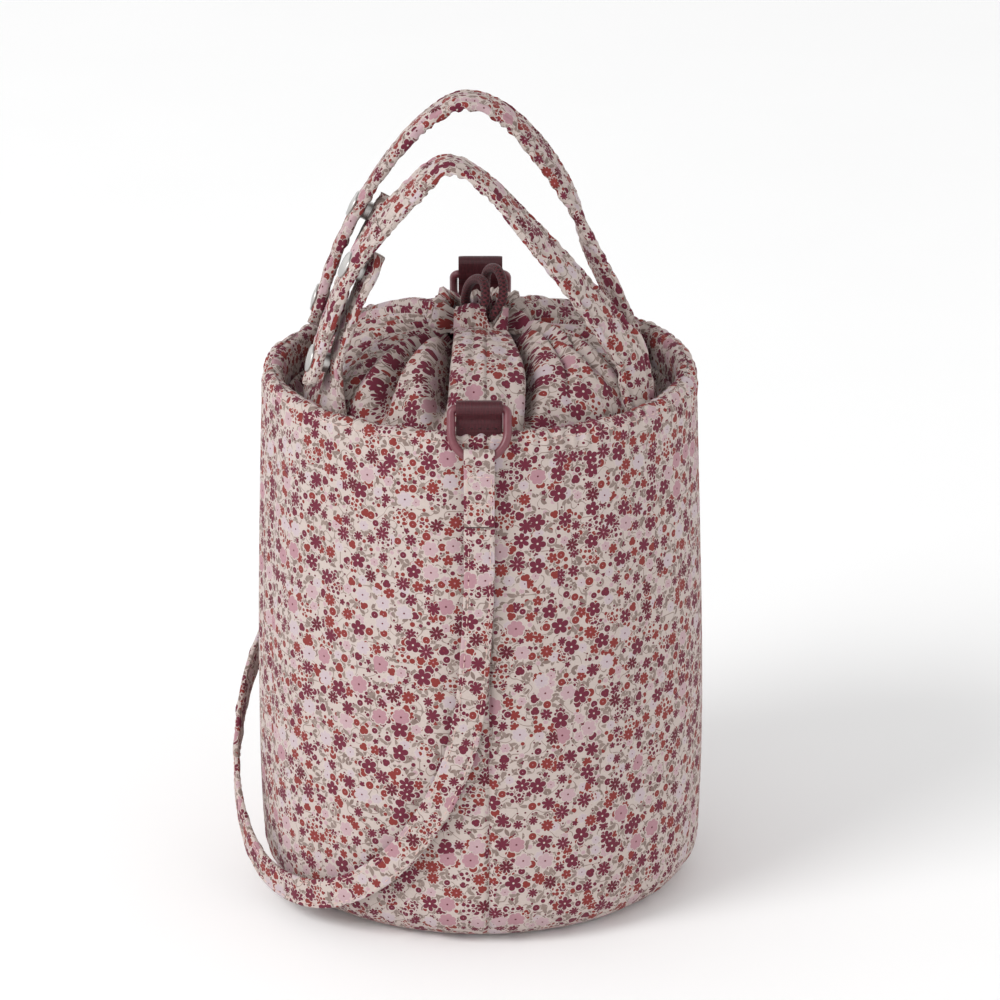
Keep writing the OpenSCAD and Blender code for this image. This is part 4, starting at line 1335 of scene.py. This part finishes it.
def make_strap_end(name, rear):
    """The carry strap's end: round the ring's bow and sewn flat to itself."""
    reach = RING_LEG + RING_HALF
    bow_y = -CREST_R - reach * math.sin(RING_LEAN)
    bow_z = RING_Z - reach * math.cos(RING_LEAN)
    ply = STRAP_T / 2
    tail = bow_z - (2.8 + 32) * MM - ply
    room = 3.0 * MM
    a = np.radians(np.linspace(-60, 240, 30))
    eye = np.stack([0 * a, -room * np.cos(a) * 1.1, 1.1 * MM + (room + 0.9 * MM) * np.sin(a)], axis=1)
    rise = np.linspace(tail, bow_z - 6.5 * MM, 16) - bow_z
    line, face = folded_line(rise, -ply / 2 - 0.02 * MM, eye, 1.2 * MM, (0, bow_y, bow_z), rear)
    across, out = flat_section(STRAP_W / 2, ply / 2, count=28)
    work = Patchwork()
    strap_tube(work, line, face, across, out,
               relief=lambda along, x: 0.12 * MM * wander(along + 0.3 * x, 0.012, 7) * np.sign(out))
    sign = -1 if rear else 1
    x = np.linspace(-6.5 * MM, 6.5 * MM, 16)
    zs = np.linspace(bow_z - 9 * MM, tail + 3 * MM, 30)
    for way in (-1, 1):
        y = sign * (bow_y + way * (ply + 0.02 * MM))
        up_way = np.array([0.0, sign * way, 0.0])
        for z in (bow_z - 9 * MM, bow_z - 24 * MM):
            row = np.stack([x, np.full(16, y), np.full(16, z)], axis=1)
            stitches(work, row, np.tile(up_way, (16, 1)))
        for edge in (-6.2 * MM, 6.2 * MM):
            row = np.stack([np.full(30, edge), np.full(30, y), zs], axis=1)
            stitches(work, row, np.tile(up_way, (30, 1)))
    end = work.piece(f"{name}_strap_end", [COTTON, THREAD])
    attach(end, f"{name}_ring")
    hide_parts(f"{name}_strap_loop")


for end_name, at_rear in SIDES:
    make_d_ring(end_name, at_rear)
    make_ring_tab(end_name, at_rear)
    make_strap_end(end_name, at_rear)

# ---------------------------------------------------------------- floor and light


def make_floor():
    n = Nodes("paper_floor")
    place = n.add("ShaderNodeTexCoord").outputs["Object"]
    grain = n.noise(place, 6.0, 2.0)
    material = n.finish(n.mix(grain, (0.93, 0.93, 0.93), (0.95, 0.95, 0.95)), 0.9)
    ends = (-FLOOR_REACH, FLOOR_REACH)
    corners = np.array([[[x, y, 0] for x in ends] for y in ends], float)
    work = Patchwork()
    work.grid(corners, corners[..., :2])
    floor = work.piece("floor", [material])


WALL_LIGHT = 1.44
CEILING_LIGHT = 0.45
WALL_TOP = 0.25
CEILING_FROM = 0.95
KEY_PLACE = (-3.1, -2.3, 3.5)
KEY_SIZE = 2.4
KEY_POWER = 130
KEY_AIM = (0, 0, 0.2)
FLOOR_REACH = 14.0


def soft_light(name, place, size, power):
    data = bpy.data.lights.new(name, "AREA")
    data.shape = "DISK"
    data.size = size
    data.energy = power
    light = bpy.data.objects.new(name, data)
    bpy.context.scene.collection.objects.link(light)
    light.location = place
    light.rotation_euler = (Vector(place) - Vector(KEY_AIM)).to_track_quat("Z", "Y").to_euler()


def make_world():
    """Bright studio walls under a darker ceiling."""
    world = bpy.data.worlds.new("studio")
    bpy.context.scene.world = world
    world.use_nodes = True
    tree = world.node_tree
    direction = tree.nodes.new("ShaderNodeTexCoord").outputs["Generated"]
    split = tree.nodes.new("ShaderNodeSeparateXYZ")
    tree.links.new(direction, split.inputs[0])
    fade = tree.nodes.new("ShaderNodeMapRange")
    fade.interpolation_type = "SMOOTHSTEP"
    limits = {"From Min": WALL_TOP, "From Max": CEILING_FROM, "To Min": WALL_LIGHT, "To Max": CEILING_LIGHT}
    for socket, value in limits.items():
        fade.inputs[socket].default_value = value
    tree.links.new(split.outputs["Z"], fade.inputs["Value"])
    tree.links.new(fade.outputs["Result"], tree.nodes["Background"].inputs["Strength"])
    tree.nodes["Background"].inputs["Color"].default_value = (1.0, 1.0, 1.0, 1)


make_floor()
make_world()
soft_light("key", KEY_PLACE, KEY_SIZE, KEY_POWER)
bpy.context.scene.view_settings.view_transform = "Standard"
